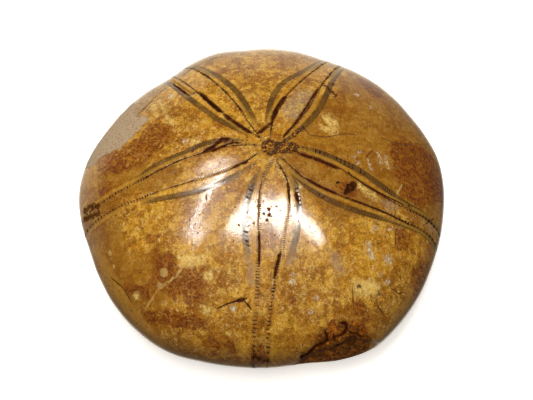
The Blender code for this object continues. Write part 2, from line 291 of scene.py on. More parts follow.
def keep_apart(petals):
    """Eases the lines of neighbouring petals apart where they would cross near the apex."""
    for petal, bearings in enumerate(petals):
        following = petals[(petal + 1) % len(petals)]
        width = half_turn(following[0] - bearings[-1])
        shift = max(0.0, PETAL_GAP - width) / 2.0
        bearings -= shift * np.linspace(0.0, 1.0, len(bearings))
        following += shift * np.linspace(1.0, 0.0, len(following))


def meridian_bearings(share):
    """Bearings of all net lines where they cross the ring at a share of the radius."""
    petals = []
    for petal in range(len(PETALS)):
        distance = share * margin_radius(petal_bearing(petal, PETAL_REACH * share))
        offsets = petal_line_offsets(petal, distance)
        petals.append(petal_bearing(petal, distance) + np.degrees(offsets / distance))
    keep_apart(petals)
    lines = []
    for petal, bearings in enumerate(petals):
        following = petals[(petal + 1) % len(petals)][0]
        width = (following - bearings[-1]) % 360.0
        lines.append(bearings)
        lines.append(bearings[-1] + gap_shares(petal) * width)
    return np.concatenate(lines)


def petal_across(petal, bearing, distance):
    """Signed distance from a petal's axis."""
    return np.radians(half_turn(bearing - petal_bearing(petal, distance))) * distance


def petal_relief(bearing, distance):
    """How deep the grooves of all pore rows are at points given from the apex."""
    depth = np.zeros_like(distance)
    for petal in range(len(PETALS)):
        across = petal_across(petal, bearing, distance)
        for row, (kind, _) in enumerate(PETALS[petal][2]):
            off = across - row_offset(petal, row, distance)
            half_width = ROW_KINDS[kind][0] * np.minimum(1.0, distance / NARROW_WITHIN)
            shape = groove(off, half_width)
            depth = np.maximum(depth, row_depth(petal, row, distance) * shape)
    return depth


def broken_relief(bearing, height):
    """How far the flaked skin at the front right margin is sunk."""
    turn = np.mod(bearing, 360.0)
    edge = smooth_curve(turn, np.array(BROKEN_BEARINGS), np.array(BROKEN_HEIGHTS))
    return (BROKEN_DEPTH * smooth_step(edge - height, 0.0, BROKEN_EDGE_WIDTH)
            * smooth_step(height, *BROKEN_FOOT))


def disc_relief(distance):
    return DISC_DEPTH * smooth_step(-distance, -DISC_RADIUS, -DISC_FLOOR_SHARE * DISC_RADIUS)


def net_normals(rings):
    """Outward normals of the net, from the differences between neighbouring points."""
    around = np.roll(rings, -1, axis=1) - np.roll(rings, 1, axis=1)
    down = np.gradient(rings, axis=0)
    normals = np.cross(down, around)
    return normals / np.linalg.norm(normals, axis=2, keepdims=True)


def polar_points(bearing, distance, height):
    angle = np.radians(bearing)
    return np.stack((distance * np.cos(angle), distance * np.sin(angle), height), axis=-1)


class Net:
    """The body's rings of points, with where each point lies on the sea urchin."""

    def __init__(self):
        self.made = []
        for share in even_shares(DOME_RINGS):
            bearing = meridian_bearings(share)
            distance = share * margin_radius(bearing)
            height = np.full_like(bearing, dome_height(share))
            relief = petal_relief(bearing, distance) + disc_relief(distance)
            self.add_ring(bearing, distance, height, distance, relief)
        bearing = meridian_bearings(1.0)
        edge = margin_radius(bearing)
        for turn in np.linspace(0.0, np.pi / 2.0, RIM_RINGS + 1)[1:]:
            distance = edge - TUCK * (1.0 - np.cos(turn))
            height = np.full_like(bearing, MARGIN_HEIGHT * (1.0 - np.sin(turn)))
            relief = petal_relief(bearing, edge) * np.cos(turn)
            self.add_ring(bearing, distance, height, edge + TUCK * turn, relief)
        fields = [np.array(field) for field in zip(*self.made)]
        self.rings, self.bearing, self.distance, self.relief = fields
        self.normals = net_normals(self.rings)
        self.under = under_rings()

    def add_ring(self, bearing, distance, height, unrolled, relief):
        points = polar_points(bearing, distance, height)
        self.made.append((points, bearing, unrolled, relief + broken_relief(bearing, height)))


def turn_from_petals(bearing):
    """Degrees from each bearing to the axis of the nearest petal."""
    axes = np.array([petal[1] for petal in PETALS])
    return np.min(np.abs(half_turn(bearing[:, None] - axes)), axis=1)


def mouth_outline(bearing):
    """The five-cornered outline of the mouth, as a factor on its radius."""
    return 1.0 + MOUTH_CORNER * np.cos(np.pi * turn_from_petals(bearing) / HALF_SECTOR)


def under_height(share, bearing, distance):
    """Height of the underside above the resting plane."""
    turn = turn_from_petals(bearing)
    hollow = HOLLOW_DEPTH * smooth_step(-share, -FLAT_RING_INNER, -HOLLOW_FLOOR)
    furrow = (FURROW_DEPTH * groove(np.radians(turn) * distance, FURROW_HALF_WIDTH)
              * smooth_step(distance, FURROW_ENDS[0] - FURROW_FADES[0], FURROW_ENDS[0])
              * smooth_step(-distance, -FURROW_ENDS[1], FURROW_FADES[1] - FURROW_ENDS[1]))
    round_mouth = distance / mouth_outline(bearing)
    lip = (LIP_SWELL * (1.0 - np.cos(np.pi * turn / HALF_SECTOR)) / 2.0
           * groove(round_mouth - LIP_RADIUS, LIP_HALF_WIDTH))
    mouth = MOUTH_DEPTH * smooth_step(-round_mouth, -MOUTH_RADIUS, MOUTH_WALL - MOUTH_RADIUS)
    return hollow + furrow - lip + mouth


def vent_relief(points):
    """The second opening: an oval pit in the hollow, near the back margin."""
    angle = np.radians(VENT_BEARING)
    out = np.array((np.cos(angle), np.sin(angle)))
    along = points[:, 0] * out[0] + points[:, 1] * out[1] - VENT_DISTANCE
    across = points[:, 1] * out[0] - points[:, 0] * out[1]
    return VENT_DEPTH * groove(np.hypot(along / VENT_LENGTH, across / VENT_WIDTH), 1.0)


def under_ring(share, mouth_ring=None):
    """One ring of the underside, at a share of its radius or at a distance from the mouth."""
    margin = meridian_bearings(1.0)
    even = margin[0] + np.linspace(0.0, 360.0, len(margin) + 1)[:-1]
    base = margin_radius(margin) - TUCK
    spread = smooth_step(-share, -EVEN_WITHIN[0], -EVEN_WITHIN[1])
    bearing = margin + (even - margin) * spread
    if mouth_ring is None:
        distance = share * (base + (np.mean(base) - base) * spread)
    else:
        distance = mouth_ring * mouth_outline(bearing)
    points = polar_points(bearing, distance, np.zeros_like(bearing))
    drift = smooth_step(-share, -DRIFT_WITHIN[0], -DRIFT_WITHIN[1])
    points[:, :2] += np.array(MOUTH_OFFSET) * drift
    points[:, 2] = under_height(share, bearing, distance) + vent_relief(points)
    return points


def under_rings():
    """Rings from the flat resting ring in to the middle of the mouth."""
    wide = [under_ring(share) for share in UNDER_SHARES]
    base = np.mean(MARGIN_RADII) - TUCK
    near = [under_ring(ring / base, ring) for ring in MOUTH_RINGS]
    return np.array(wide + near)


def net_faces(ring_count, line_count):
    """Quads between the rings, and a fan at the apex and in the mouth."""
    top = ring_count * line_count
    faces = []
    for line in range(line_count):
        following = (line + 1) % line_count
        faces.append((top, line, following))
        for ring in range(ring_count - 1):
            upper = ring * line_count
            lower = upper + line_count
            faces.append((upper + line, lower + line, lower + following, upper + following))
        last = (ring_count - 1) * line_count
        faces.append((last + line, top + 1, last + following))
    return faces


def camera_axes():
    angle = math.radians(CAMERA_ELEVATION)
    back = np.array((0.0, -math.cos(angle), math.sin(angle)))
    up = np.array((0.0, math.sin(angle), math.cos(angle)))
    return back, up


def pixel_ray(pixel):
    """Start and direction, in millimetres, of the photograph's line of sight through a pixel."""
    back, up = camera_axes()
    focal = PIXELS_PER_MM * CAMERA_DISTANCE
    start = np.array(CAMERA_TARGET) + back * CAMERA_DISTANCE
    right = (pixel[0] - FRAME_WIDTH / 2.0) / focal
    rise = (FRAME_HEIGHT / 2.0 - pixel[1]) / focal
    direction = np.array((right, 0.0, 0.0)) + up * rise - back
    return start, direction / np.linalg.norm(direction)


def add_camera():
    back, _ = camera_axes()
    data = bpy.data.cameras.new("camera")
    data.sensor_width = SENSOR_WIDTH
    data.lens = PIXELS_PER_MM * CAMERA_DISTANCE * SENSOR_WIDTH / FRAME_WIDTH
    data.clip_start = CLIP_START
    camera = bpy.data.objects.new("camera", data)
    camera.location = Vector((np.array(CAMERA_TARGET) + back * CAMERA_DISTANCE) * MM)
    camera.rotation_euler = (math.radians(90.0 - CAMERA_ELEVATION), 0.0, 0.0)
    bpy.context.scene.collection.objects.link(camera)
    bpy.context.scene.camera = camera


# ---------------------------------------------------------------- marks, by pixels of the photograph
CENTRE_PIXEL = (262, 205)

# Dark hairlines, by channel: half width and depth in mm, points. Lines that meet or run
# close together are on different channels.
CRACKS = {
    "a": (
        (0.55, 0.5, ((173, 83.7), (178.8, 87), (183.4, 90.6), (190.3, 95.8))),
        (0.55, 0.45, ((199.5, 91.7), (204.6, 97.5), (210.4, 102.6), (216, 107.8), (222, 113))),
        (0.42, 0.3, ((222, 113), (232, 121), (243, 128), (252, 134))),
        (0.55, 0.1, ((234, 302), (242, 299.5), (247, 298.5))),
        (0.35, 0.3, ((301.4, 360.5), (301.9, 356), (305.9, 355.2), (309.5, 352.5), (315.7, 346.3),
                     (324.6, 342.7), (327.3, 340.9), (326.4, 334.6), (323.8, 329.3))),
        (0.25, 0.2, ((347, 329.3), (351.4, 332.9), (355.9, 333.8), (365.7, 338.2))),
        (0.4, 0.04, ((295, 190), (297, 197), (299, 204))),
        (0.3, 0.03, ((282, 138), (295, 124), (307, 106), (319, 87))),
        (0.36, 0.04, ((281, 250), (278, 261), (275.5, 272), (274, 280))),
        (0.38, 0.04, ((296, 153), (306, 156), (318, 160), (330, 165), (342, 170))),
        (0.34, 0.02, ((210, 152), (220, 147), (232, 143), (243, 143))),
        (0.34, 0.03, ((230, 169), (238, 165), (246, 162), (250, 158))),
        (0.24, 0.03, ((351, 199), (366, 205), (380, 210), (396, 218), (412, 226))),
    ),
    "b": (
        (0.28, 0.2, ((190.3, 95.8), (193.7, 92.9), (199.5, 91.7))),
        (0.45, 0.25, ((255.5, 134.5), (262, 130.5), (268, 126), (272, 121))),
        (0.6, 0.25, ((272, 121), (276, 111), (282, 101), (287, 95))),
        (0.24, 0.15, ((243, 299), (247, 304), (253, 311))),
        (0.35, 0.3, ((337, 323), (346, 323), (347, 329.3), (342.5, 334.6), (333.6, 337.3),
                     (335.4, 342.7))),
        (0.24, 0.03, ((287, 180), (288.5, 192), (290, 205))),
        (0.28, 0.03, ((259, 230), (259.5, 248), (259, 268))),
        (0.34, 0.03, ((304, 177), (316, 184), (328, 190), (340, 195))),
        (0.52, 0.03, ((201, 153), (208, 149), (214, 146), (222, 139), (232, 139))),
        (0.2, 0.05, ((206, 193), (206.5, 198), (206.5, 202))),
        (0.24, 0.03, ((353, 176), (365, 185), (378, 192), (392, 199), (406, 206))),
    ),
    "c": (
        (0.12, 0.1, ((168.5, 86.6), (162, 91), (155.8, 96.3), (150, 102.6), (146.6, 106), (141.5, 111),
                     (137, 117.6))),
        (0.12, 0.1, ((180.5, 78), (189.7, 70), (196, 67), (204.6, 62.5), (213, 59), (220, 57))),
        (0.1, 0.05, ((250.6, 107.3), (258, 108.5), (266, 110))),
        (0.12, 0.1, ((299.6, 123.7), (311, 135.2), (325.6, 137.1), (343.7, 133.8), (353, 133.8),
                     (359, 136))),
        (0.1, 0.05, ((363.8, 159.9), (369, 154), (374.5, 147.9))),
        (0.1, 0.05, ((377, 137), (386, 140), (397, 143.8), (414.7, 145.2))),
        (0.12, 0.08, ((396.5, 224), (395.8, 236), (395.8, 249.5))),
        (0.12, 0.08, ((352.3, 285), (353, 298), (353.7, 310.5))),
        (0.12, 0.08, ((388.7, 286.6), (398.6, 293.7), (407, 292.2))),
        (0.14, 0.08, ((374.7, 302), (380, 309), (385.9, 317.5))),
        (0.14, 0.1, ((421.8, 226.5), (430.2, 221.2), (435.6, 217.3))),
        (0.1, 0.05, ((434.8, 199), (438.6, 201.3), (443.2, 202.8))),
        (0.24, 0.15, ((215, 310), (220.7, 307), (230, 303), (241, 299.5), (248, 298))),
        (0.16, 0.1, ((109, 276), (115, 281), (122, 287), (128, 296), (132, 304))),
        (0.3, 0.25, ((330.9, 352.5), (338, 345.4), (344.3, 343.6))),
    ),
}

# Round marks: radius in mm, centre
SPOTS = {
    "pit": (
        (1.25, (350, 187.5)), (0.95, (353.5, 184.5)), (0.8, (347, 191)), (0.45, (344.5, 193.5)),
        (0.5, (337.8, 182.5)), (0.35, (349, 173)), (0.75, (214, 149.5)), (0.7, (221, 140)),
        (0.5, (227, 140)), (0.5, (206, 150.5)), (0.4, (233, 141)), (0.3, (260, 205.5)),
        (0.42, (268.5, 208.7)), (0.34, (276, 205.5)), (0.34, (264, 214)), (0.4, (269.6, 215)),
        (0.34, (267.5, 220)), (0.32, (251.6, 218)), (0.36, (253.7, 223)), (0.3, (246, 213)),
        (0.28, (248.4, 226)), (0.32, (259, 231)), (0.3, (238.8, 225)),
    ),
    "red": (
        (2.4, (348, 189)), (0.8, (286, 166)), (1.0, (292, 300.5)),
    ),
    "dark": (
        (0.45, (409.6, 206)), (0.32, (262.5, 295.5)), (0.6, (359.3, 285.2)), (0.6, (379.5, 294.5)),
        (0.5, (366, 338)), (0.5, (332, 84)), (0.6, (193, 150)),
    ),
    "vein": (
        (1.15, (163.8, 272.4)), (0.75, (159, 285)), (0.75, (109.6, 253)), (0.6, (113.6, 266)),
    ),
    "white": (
        (0.7, (233.4, 308.6)), (1.25, (388.7, 259.5)), (0.7, (375.4, 227.7)), (0.5, (373.3, 267)),
        (0.6, (380.3, 274)), (0.7, (388, 282.4)), (0.45, (389.5, 229.5)), (0.8, (171, 96)),
        (0.7, (185, 141)), (0.6, (357, 95)), (0.55, (371, 107)), (0.5, (300, 188)), (0.6, (359, 152)),
        (0.45, (354, 157)), (0.55, (358, 163)), (0.6, (316, 298)), (0.6, (310, 312)), (0.5, (293, 275)),
        (0.7, (292, 282)),
    ),
    "cream": (
        (0.95, (207, 308.6)), (1.0, (195, 142)), (0.7, (137, 296)), (1.0, (210, 276)),
    ),
}

# Long marks: half width in mm, points
STREAKS = {
    "white": (
        (0.75, ((368, 244), (369.5, 250), (371.5, 256))), (0.3, ((368, 160), (372, 170))),
        (0.3, ((378, 152), (381, 163))), (0.25, ((385, 156), (388, 168))),
    ),
    "vein": (
        (0.4, ((184, 266), (175, 277), (160, 288), (152, 300), (141, 314))),
        (0.3, ((402, 185), (399, 190), (396.6, 195))), (0.2, ((322, 116), (330, 129))),
        (0.2, ((328, 113), (336, 128))), (0.16, ((334, 116), (340, 129))),
        (0.14, ((325, 114), (333, 129))),
    ),
    "cream": (
        (0.6, ((322, 128), (334, 133))), (1.0, ((327, 117), (334, 127))),
        (0.45, ((159, 100), (164, 112), (170, 122))), (0.4, ((152, 104), (158, 115))),
        (0.5, ((359, 186), (368, 192), (377, 199))),
    ),
    "dark": (
        (0.65, ((99, 214), (90, 217), (84, 219))), (0.6, ((326, 86), (331, 91), (336, 96))),
        (0.55, ((255, 356), (259, 359), (265, 361))), (0.8, ((84, 212), (90, 206), (98, 207))),
    ),
    # The olive rim marks are partly the rim's own tone and partly painted shade on the downward-facing
    # margin
    "olive_and_shade": (
        (0.8, ((395, 312), (404, 305), (412, 294))),
    ),
    "violet": (
        (1.2, ((296, 243), (293, 252), (290, 262))),
        (1.0, ((246, 196), (243, 213), (246, 235), (250, 262), (252, 282))),
    ),
    "granular": (
        (0.6, ((285, 141), (294, 135), (302, 127))),
    ),
    "faded": (
        (1.8, ((271, 168), (267, 200), (264, 240), (262, 300), (262, 350))),
        (1.5, ((289, 208), (287, 230), (284, 246))), (1.5, ((228, 169), (212, 175), (200, 179))),
    ),
    "inked": (
        (1.3, ((298, 149), (316, 152), (336, 159), (352, 166), (360, 172))),
        (1.1, ((214, 145), (226, 141), (240, 139), (250, 143))),
        (0.9, ((254, 166), (251, 178), (249, 196))), (1.0, ((262, 326), (263, 340), (262, 352))),
        (0.5, ((246, 232), (247, 240), (248, 250))), (1.2, ((84, 216), (96, 210), (112, 203))),
        (0.9, ((297, 190), (300, 204))), (0.9, ((306, 182), (318, 192), (330, 199))),
    ),
}

# Areas: corners
AREAS = {
    "matrix": (
        ((91, 169), (96, 162.6), (104, 154.5), (113.6, 152), (124.3, 145), (135, 133), (145.7, 123.7),
         (148.4, 115.7), (137.7, 117), (131, 100), (78, 150), (80, 168)),
    ),
    # The tan bands along the back edge are partly their own tone and partly painted reflection of the
    # pale room
    "tan": (
        ((137, 117.6), (146.6, 106), (155.8, 96.3), (168.5, 86.6), (174, 80), (160, 76), (128, 100)),
        ((180.5, 78), (196, 67), (213, 59), (225, 55), (262, 53), (330, 62), (330, 30), (180, 40),
         (165, 76)),
    ),
    "red": (
        ((96, 172), (100, 158), (118, 150), (138, 138), (150, 122), (168, 124), (172, 140), (150, 158),
         (128, 172), (104, 176)),
        ((148, 234), (160, 236), (158, 247), (146, 244)),
        ((124, 286), (150, 284), (150, 300), (128, 294)),
        ((170, 268), (196, 262), (203, 282), (205, 300), (192, 306), (172, 296), (160, 290), (150, 296),
         (150, 282), (162, 280)),
        ((192, 334), (210, 336), (224, 334), (238, 346), (236, 356), (214, 354)),
        ((141, 311), (170, 309), (207, 320), (212, 332), (186, 330), (150, 326)),
        ((152, 250), (176, 254), (182, 272), (172, 286), (152, 280)),
        ((388, 142), (404, 138), (428, 150), (447, 176), (447, 206), (420, 208), (402, 196), (394, 172)),
        ((396, 226), (406, 228), (408, 250), (396, 252)),
        ((356, 78), (372, 80), (384, 98), (372, 98)),
        ((352, 303), (362, 300), (370, 320), (366, 332), (356, 328)),
        ((410, 268), (432, 262), (440, 240), (448, 240), (436, 292), (414, 296)),
        ((424, 166), (434, 168), (440, 184), (428, 186)),
        ((101, 180), (112, 182), (114, 196), (100, 196)),
        ((249, 350), (262, 345), (269, 352), (270, 364), (248, 364)),
    ),
    "brown": (
        ((350, 72), (372, 84), (402, 104), (440, 150), (450, 205), (430, 240), (404, 214), (384, 160),
         (352, 112), (330, 84)),
        ((76, 176), (98, 186), (120, 206), (124, 240), (150, 276), (152, 318), (124, 316), (80, 250)),
        ((300, 100), (340, 96), (380, 130), (402, 180), (380, 215), (330, 218), (300, 192), (284, 165)),
        ((126, 258), (170, 248), (176, 300), (140, 316)),
        ((90, 176), (140, 160), (190, 168), (176, 186), (130, 196), (100, 198)),
    ),
    "crust": (
        ((290, 366), (300, 354), (312, 345), (318, 333), (332, 321), (348, 318), (362, 326), (372, 338),
         (368, 352), (352, 362), (330, 368)),
    ),
    "violet": (
        ((329, 250), (338, 254), (346, 270), (340, 276), (332, 266)),
        ((382, 201), (392, 200), (398, 207), (388, 211)),
    ),
    "cloud": (
        ((281, 112), (288, 98), (298, 90), (312, 89), (313, 96), (304, 112), (296, 120), (286, 119)),
        ((425, 223), (434, 223), (436, 231), (429, 232)),
    ),
    "cream": (
        ((353, 282), (366, 279), (382, 284), (380, 292), (366, 296), (354, 292)),
        ((178, 256), (190, 254), (204, 256), (202, 265), (180, 266)),
    ),
    # The olive rim marks are partly the rim's own tone and partly painted shade on the downward-facing
    # margin
    "olive_and_shade": (
        ((84, 170), (97, 172), (98, 184), (88, 190), (76, 190)),
        ((95, 245), (107, 262), (122, 288), (134, 306), (150, 330), (172, 350), (205, 360), (260, 366),
         (260, 380), (180, 376), (110, 320), (80, 250)),
        ((385, 330), (396, 316), (410, 300), (428, 286), (440, 290), (420, 330), (390, 350)),
        ((214, 58), (232, 57), (230, 64), (216, 64)),
        ((300, 63), (320, 66), (318, 74), (301, 71)),
    ),
    "granular": (
        ((262, 142), (270, 138.5), (278, 142), (290, 141), (299, 146), (297, 152), (284, 153),
         (277, 153.5), (269, 156), (261.5, 151)),
    ),
}
MARK_KINDS = tuple(dict.fromkeys((*SPOTS, *STREAKS, *AREAS)))
FIELD_LIMIT = 3.0         # mm, beyond which a mark's distance isn't kept
CRACK_TAPER = (-0.2, 1.6)  # mm from its end, between which a hairline grows to its full size
CRACK_REACH = 0.9         # mm to each side where a hairline's own fields hold
MIN_CARVED_HALF = 0.45    # mm, the narrowest groove that the net can carry
CARVED_WIDER = 1.2        # a carved groove's width against its hairline's
MISS_STEPS = 200          # most moves of a pixel beside the body towards the body's middle
MISS_STEP = 0.5           # pixels

# Per petal, mm from the apex: where the outer bands have faded out, and where the inner
# lines break up into dots
BAND_ENDS = (60.0, 37.0, 31.0, 60.0, 60.0)
DOTTED_FROM = (34.0, 30.0, 20.0, 32.0, 34.0)
FADE_REACH = 5.0

# Pores: pitch of the pairs near the apex and near the margin, mm
PORE_PITCH = (0.54, 0.80)
PORE_PITCH_ENDS = (26.0, 40.0)
PORES_REACH = 70.0        # mm from the apex to which the pores are counted
PORES_STEP = 0.05         # mm


class Projector:
    """Finds the places on the body that the photograph's pixels show."""

    def __init__(self, net, shift):
        rings = net.rings.reshape(-1, 3)
        corners = np.vstack((rings, (0.0, 0.0, HEIGHT))) + shift
        open_below = [face for face in net_faces(*net.rings.shape[:2]) if len(rings) + 1 not in face]
        self.tree = BVHTree.FromPolygons([Vector(corner) for corner in corners], open_below)
        self.shift = shift

    def place(self, pixel):
        """The point in millimetres under a pixel, or under the nearest one that meets the body."""
        spot = np.array(pixel, float)
        inward = np.array(CENTRE_PIXEL) - spot
        inward /= np.linalg.norm(inward)
        for _ in range(MISS_STEPS):
            start, direction = pixel_ray(spot)
            hit = self.tree.ray_cast(Vector(start), Vector(direction))[0]
            if hit is not None:
                return np.array(hit) - self.shift
            spot += inward * MISS_STEP
        raise ValueError(f"pixel {pixel} is nowhere near the body")


def plan_of(points, distance):
    """Places on the body unrolled onto a plane round the apex."""
    bearing = np.arctan2(points[..., 1], points[..., 0])
    return np.stack((distance * np.cos(bearing), distance * np.sin(bearing)), axis=-1)


def unrolled_distance(point):
    """Distance from the apex along the net's own measure, for a point below the margin too."""
    distance = math.hypot(point[0], point[1])
    if point[2] >= MARGIN_HEIGHT:
        return distance
    edge = float(margin_radius(np.degrees(math.atan2(point[1], point[0]))))
    return edge + TUCK * math.asin(min(1.0, 1.0 - point[2] / MARGIN_HEIGHT))


def nearest_on_run(points, start, end):
    """Per point the nearest place on a straight run, as a share of it, and the way from there."""
    run = end - start
    share = np.clip((points - start) @ run / (run @ run), 0.0, 1.0)
    return share, points - start - share[:, None] * run


def path_fields(points, normals, path):
    """Distance from a path, the side of it, and how far along it the nearest place is."""
    best = np.full(len(points), np.inf)
    side = np.ones(len(points))
    along = np.zeros(len(points))
    travelled = 0.0
    for start, end in zip(path[:-1], path[1:]):
        length = np.linalg.norm(end - start)
        share, off = nearest_on_run(points, start, end)
        distance = np.linalg.norm(off, axis=1)
        nearer = distance < best
        best[nearer] = distance[nearer]
        turned = np.einsum("ij,ij->i", np.cross(end - start, off), normals)
        side[nearer] = np.where(turned[nearer] < 0.0, -1.0, 1.0)
        along[nearer] = travelled + share[nearer] * length
        travelled += length
    return best, side, along, travelled


def area_field(plan, corners):
    """Signed distance into an area of the unrolled plane, negative outside."""
    inside = np.zeros(len(plan), bool)
    best = np.full(len(plan), np.inf)
    for start, end in zip(corners, np.roll(corners, -1, axis=0)):
        best = np.minimum(best, np.linalg.norm(nearest_on_run(plan, start, end)[1], axis=1))
        crosses = (start[1] > plan[:, 1]) != (end[1] > plan[:, 1])
        run, rise = end - start
        meet = start[0] + (plan[:, 1] - start[1]) / (rise or 1.0) * run
        inside ^= crosses & (plan[:, 0] < meet)
    return np.where(inside, best, -best)


def mark_fields(net, projector):
    """Per kind of mark, how far inside it each point of the net lies, in millimetres."""
    points = net.rings.reshape(-1, 3)
    normals = net.normals.reshape(-1, 3)
    plan = plan_of(points, net.distance.reshape(-1))
    fields = {}
    for kind in MARK_KINDS:
        reaches = [np.full(len(points), -FIELD_LIMIT)]
        for radius, pixel in SPOTS.get(kind, ()):
            reaches.append(radius - np.linalg.norm(points - projector.place(pixel), axis=1))
        for half_width, pixels in STREAKS.get(kind, ()):
            path = [projector.place(pixel) for pixel in pixels]
            reaches.append(half_width - path_fields(points, normals, path)[0])
        for pixels in AREAS.get(kind, ()):
            places = [projector.place(pixel) for pixel in pixels]
            corners = np.array([plan_of(place, unrolled_distance(place)) for place in places])
            reaches.append(area_field(plan, corners))
        fields[kind] = np.maximum.reduce(reaches)
    return fields


def crack_fields(net, projector):
    """Per channel the signed distance, half width and depth of the hairlines."""
    points = net.rings.reshape(-1, 3)
    normals = net.normals.reshape(-1, 3)
    channels = {name: np.zeros((len(points), 3)) for name in CRACKS}
    carved = np.zeros(len(points))
    for name, cracks in CRACKS.items():
        nearest = np.full(len(points), np.inf)
        for half_width, depth, pixels in cracks:
            path = [projector.place(pixel) for pixel in pixels]
            distance, side, along, length = path_fields(points, normals, path)
            to_end = np.minimum(along, length - along)
            taper = smooth_step(to_end, *CRACK_TAPER) * (distance < CRACK_REACH)
            nearer = distance < nearest
            nearest[nearer] = distance[nearer]
            field = np.stack((side * distance, half_width * taper, depth * taper), axis=1)
            channels[name][nearer] = field[nearer]
            carved_half = max(half_width * CARVED_WIDER, MIN_CARVED_HALF)
            carved = np.maximum(carved, depth * taper * groove(distance, carved_half))
    return channels, carved


def row_fields(net):
    """Signed distance to the nearest inner and outer pore row, and the pores' phase."""
    bearing, distance = net.bearing, net.distance
    nearest = {kind: np.full(distance.shape, FAR) for kind in ("inner", "outer")}
    wide = np.zeros(distance.shape)
    shown = np.zeros(distance.shape)
    for petal in range(len(PETALS)):
        across = petal_across(petal, bearing, distance)
        for row, (kind, offsets) in enumerate(PETALS[petal][2]):
            if kind == "crack":
                continue
            outward = 1.0 if offsets[3] > 0.0 else -1.0
            off = (across - row_offset(petal, row, distance)) * outward
            closer = np.abs(off) < np.abs(nearest[kind])
            nearest[kind] = np.where(closer, off, nearest[kind])
            start, end = DOTTED_FROM[petal], BAND_ENDS[petal]
            if kind == "inner":
                wide[closer] = smooth_step(distance[closer], start, start + FADE_REACH)
            else:
                shown[closer] = smooth_step(-distance[closer], -end, FADE_REACH - end)
    order = np.linspace(0.0, PORES_REACH, round(PORES_REACH / PORES_STEP) + 1)
    pitch = PORE_PITCH[0] + (PORE_PITCH[1] - PORE_PITCH[0]) * smooth_step(order, *PORE_PITCH_ENDS)
    phase = np.concatenate(([0.0], np.cumsum(PORES_STEP / pitch[:-1])))
    return {
        "row_inner": np.clip(nearest["inner"], -FIELD_LIMIT, FIELD_LIMIT).reshape(-1),
        "row_outer": np.clip(nearest["outer"], -FIELD_LIMIT, FIELD_LIMIT).reshape(-1),
        "pore_phase": np.interp(distance, order, phase).reshape(-1),
        "pore_wide": wide.reshape(-1),
        "band_shown": shown.reshape(-1),
    }


def hand_polish(points):
    """Very low swells of the hand-polished surface."""
    x, y = points[:, 0], points[:, 1]
    return (SWELLS[0] * np.sin(0.31 * x + 0.9) * np.cos(0.27 * y - 0.4)
            + SWELLS[1] * np.sin(0.62 * x - 0.5 * y + 2.0))


def build_points(net, carved):
    """All points of the body: the carved skin, the underside, the apex and the mouth's middle."""
    skin = net.rings.reshape(-1, 3)
    normals = net.normals.reshape(-1, 3)
    sink = net.relief.reshape(-1) + carved
    calm = smooth_step(skin[:, 2], *CALM_HEIGHTS)
    skin = skin - normals * ((sink + hand_polish(skin)) * calm)[:, None]
    under = net.under.reshape(-1, 3)
    middle = np.array((*MOUTH_OFFSET, HOLLOW_DEPTH + MOUTH_DEPTH))
    top = np.array((0.0, 0.0, HEIGHT - DISC_DEPTH))
    return np.vstack((skin, under, top[None, :], middle[None, :]))


def spread_to_all(field, net, apex_value, under_value):
    """A field of the skin carried on to the underside's points, the apex and the mouth."""
    count = net.under.shape[0] * net.under.shape[1]
    return np.concatenate((field, np.full(count, under_value), (apex_value, under_value)))


def add_attribute(mesh, name, values):
    kind = "FLOAT" if values.ndim == 1 else "FLOAT_VECTOR"
    key = "value" if values.ndim == 1 else "vector"
    layer = mesh.attributes.new(name, kind, "POINT")
    layer.data.foreach_set(key, values.astype(np.float32).ravel())


def box_shift(points):
    """Moves the body so that the middle of its box is over the origin, as in the CAD."""
    low, high = points.min(axis=0), points.max(axis=0)
    lowest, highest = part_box(NODE)
    target = (np.array(lowest) + np.array(highest)) / 2.0 / MM
    return target - (low + high) / 2.0


def build_urchin():
    net = Net()
    shift = box_shift(build_points(net, np.zeros(net.relief.size)))
    projector = Projector(net, shift)
    channels, carved = crack_fields(net, projector)
    points = build_points(net, carved) + shift
    lowest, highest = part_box(NODE)
    points = np.clip(points * MM, np.array(lowest), np.array(highest))
    lines = net.rings.shape[1]
    ring_count = net.rings.shape[0] + net.under.shape[0]
    mesh = bpy.data.meshes.new(PIECE)
    mesh.from_pydata(points.tolist(), [], net_faces(ring_count, lines))
    mesh.shade_smooth()

    for kind, field in mark_fields(net, projector).items():
        apex = 1.0 if kind == "granular" else -FIELD_LIMIT
        add_attribute(mesh, kind, spread_to_all(field, net, apex, -FIELD_LIMIT))
    for name, field in row_fields(net).items():
        add_attribute(mesh, name, spread_to_all(field, net, 0.0, FIELD_LIMIT))
    for name, field in channels.items():
        still = np.zeros((net.under.shape[0] * lines + 2, 3))
        add_attribute(mesh, "crack_" + name, np.vstack((field, still)))
    add_attribute(mesh, "from_apex", spread_to_all(net.distance.reshape(-1), net, 0.0, FAR))
    add_attribute(mesh, "skin_height", spread_to_all(net.rings[:, :, 2].ravel(), net, HEIGHT, 0.0))
    under = net.under.reshape(-1, 3)
    to_mouth = np.hypot(under[:, 0] - MOUTH_OFFSET[0], under[:, 1] - MOUTH_OFFSET[1])
    skin_to_mouth = np.full(net.bearing.size, FAR)
    add_attribute(mesh, "from_mouth", np.concatenate((skin_to_mouth, to_mouth, (FAR, 0.0))))
    mesh.validate()
    piece = bpy.data.objects.new(PIECE, mesh)
    bpy.context.scene.collection.objects.link(piece)
    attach(piece, "root")
    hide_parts(NODE)
    return piece


# ---------------------------------------------------------------- material
EXPOSURE = 1.50           # light that falls on the top of the body, with 1 for plain white


def linear(value):
    share = value / 255.0
    return share / 12.92 if share <= 0.04045 else ((share + 0.055) / 1.055) ** 2.4


def tint(red, green, blue):
    """A surface colour, from the colour it has in the photograph's light."""
    return (linear(red) / EXPOSURE, linear(green) / EXPOSURE, linear(blue) / EXPOSURE, 1.0)


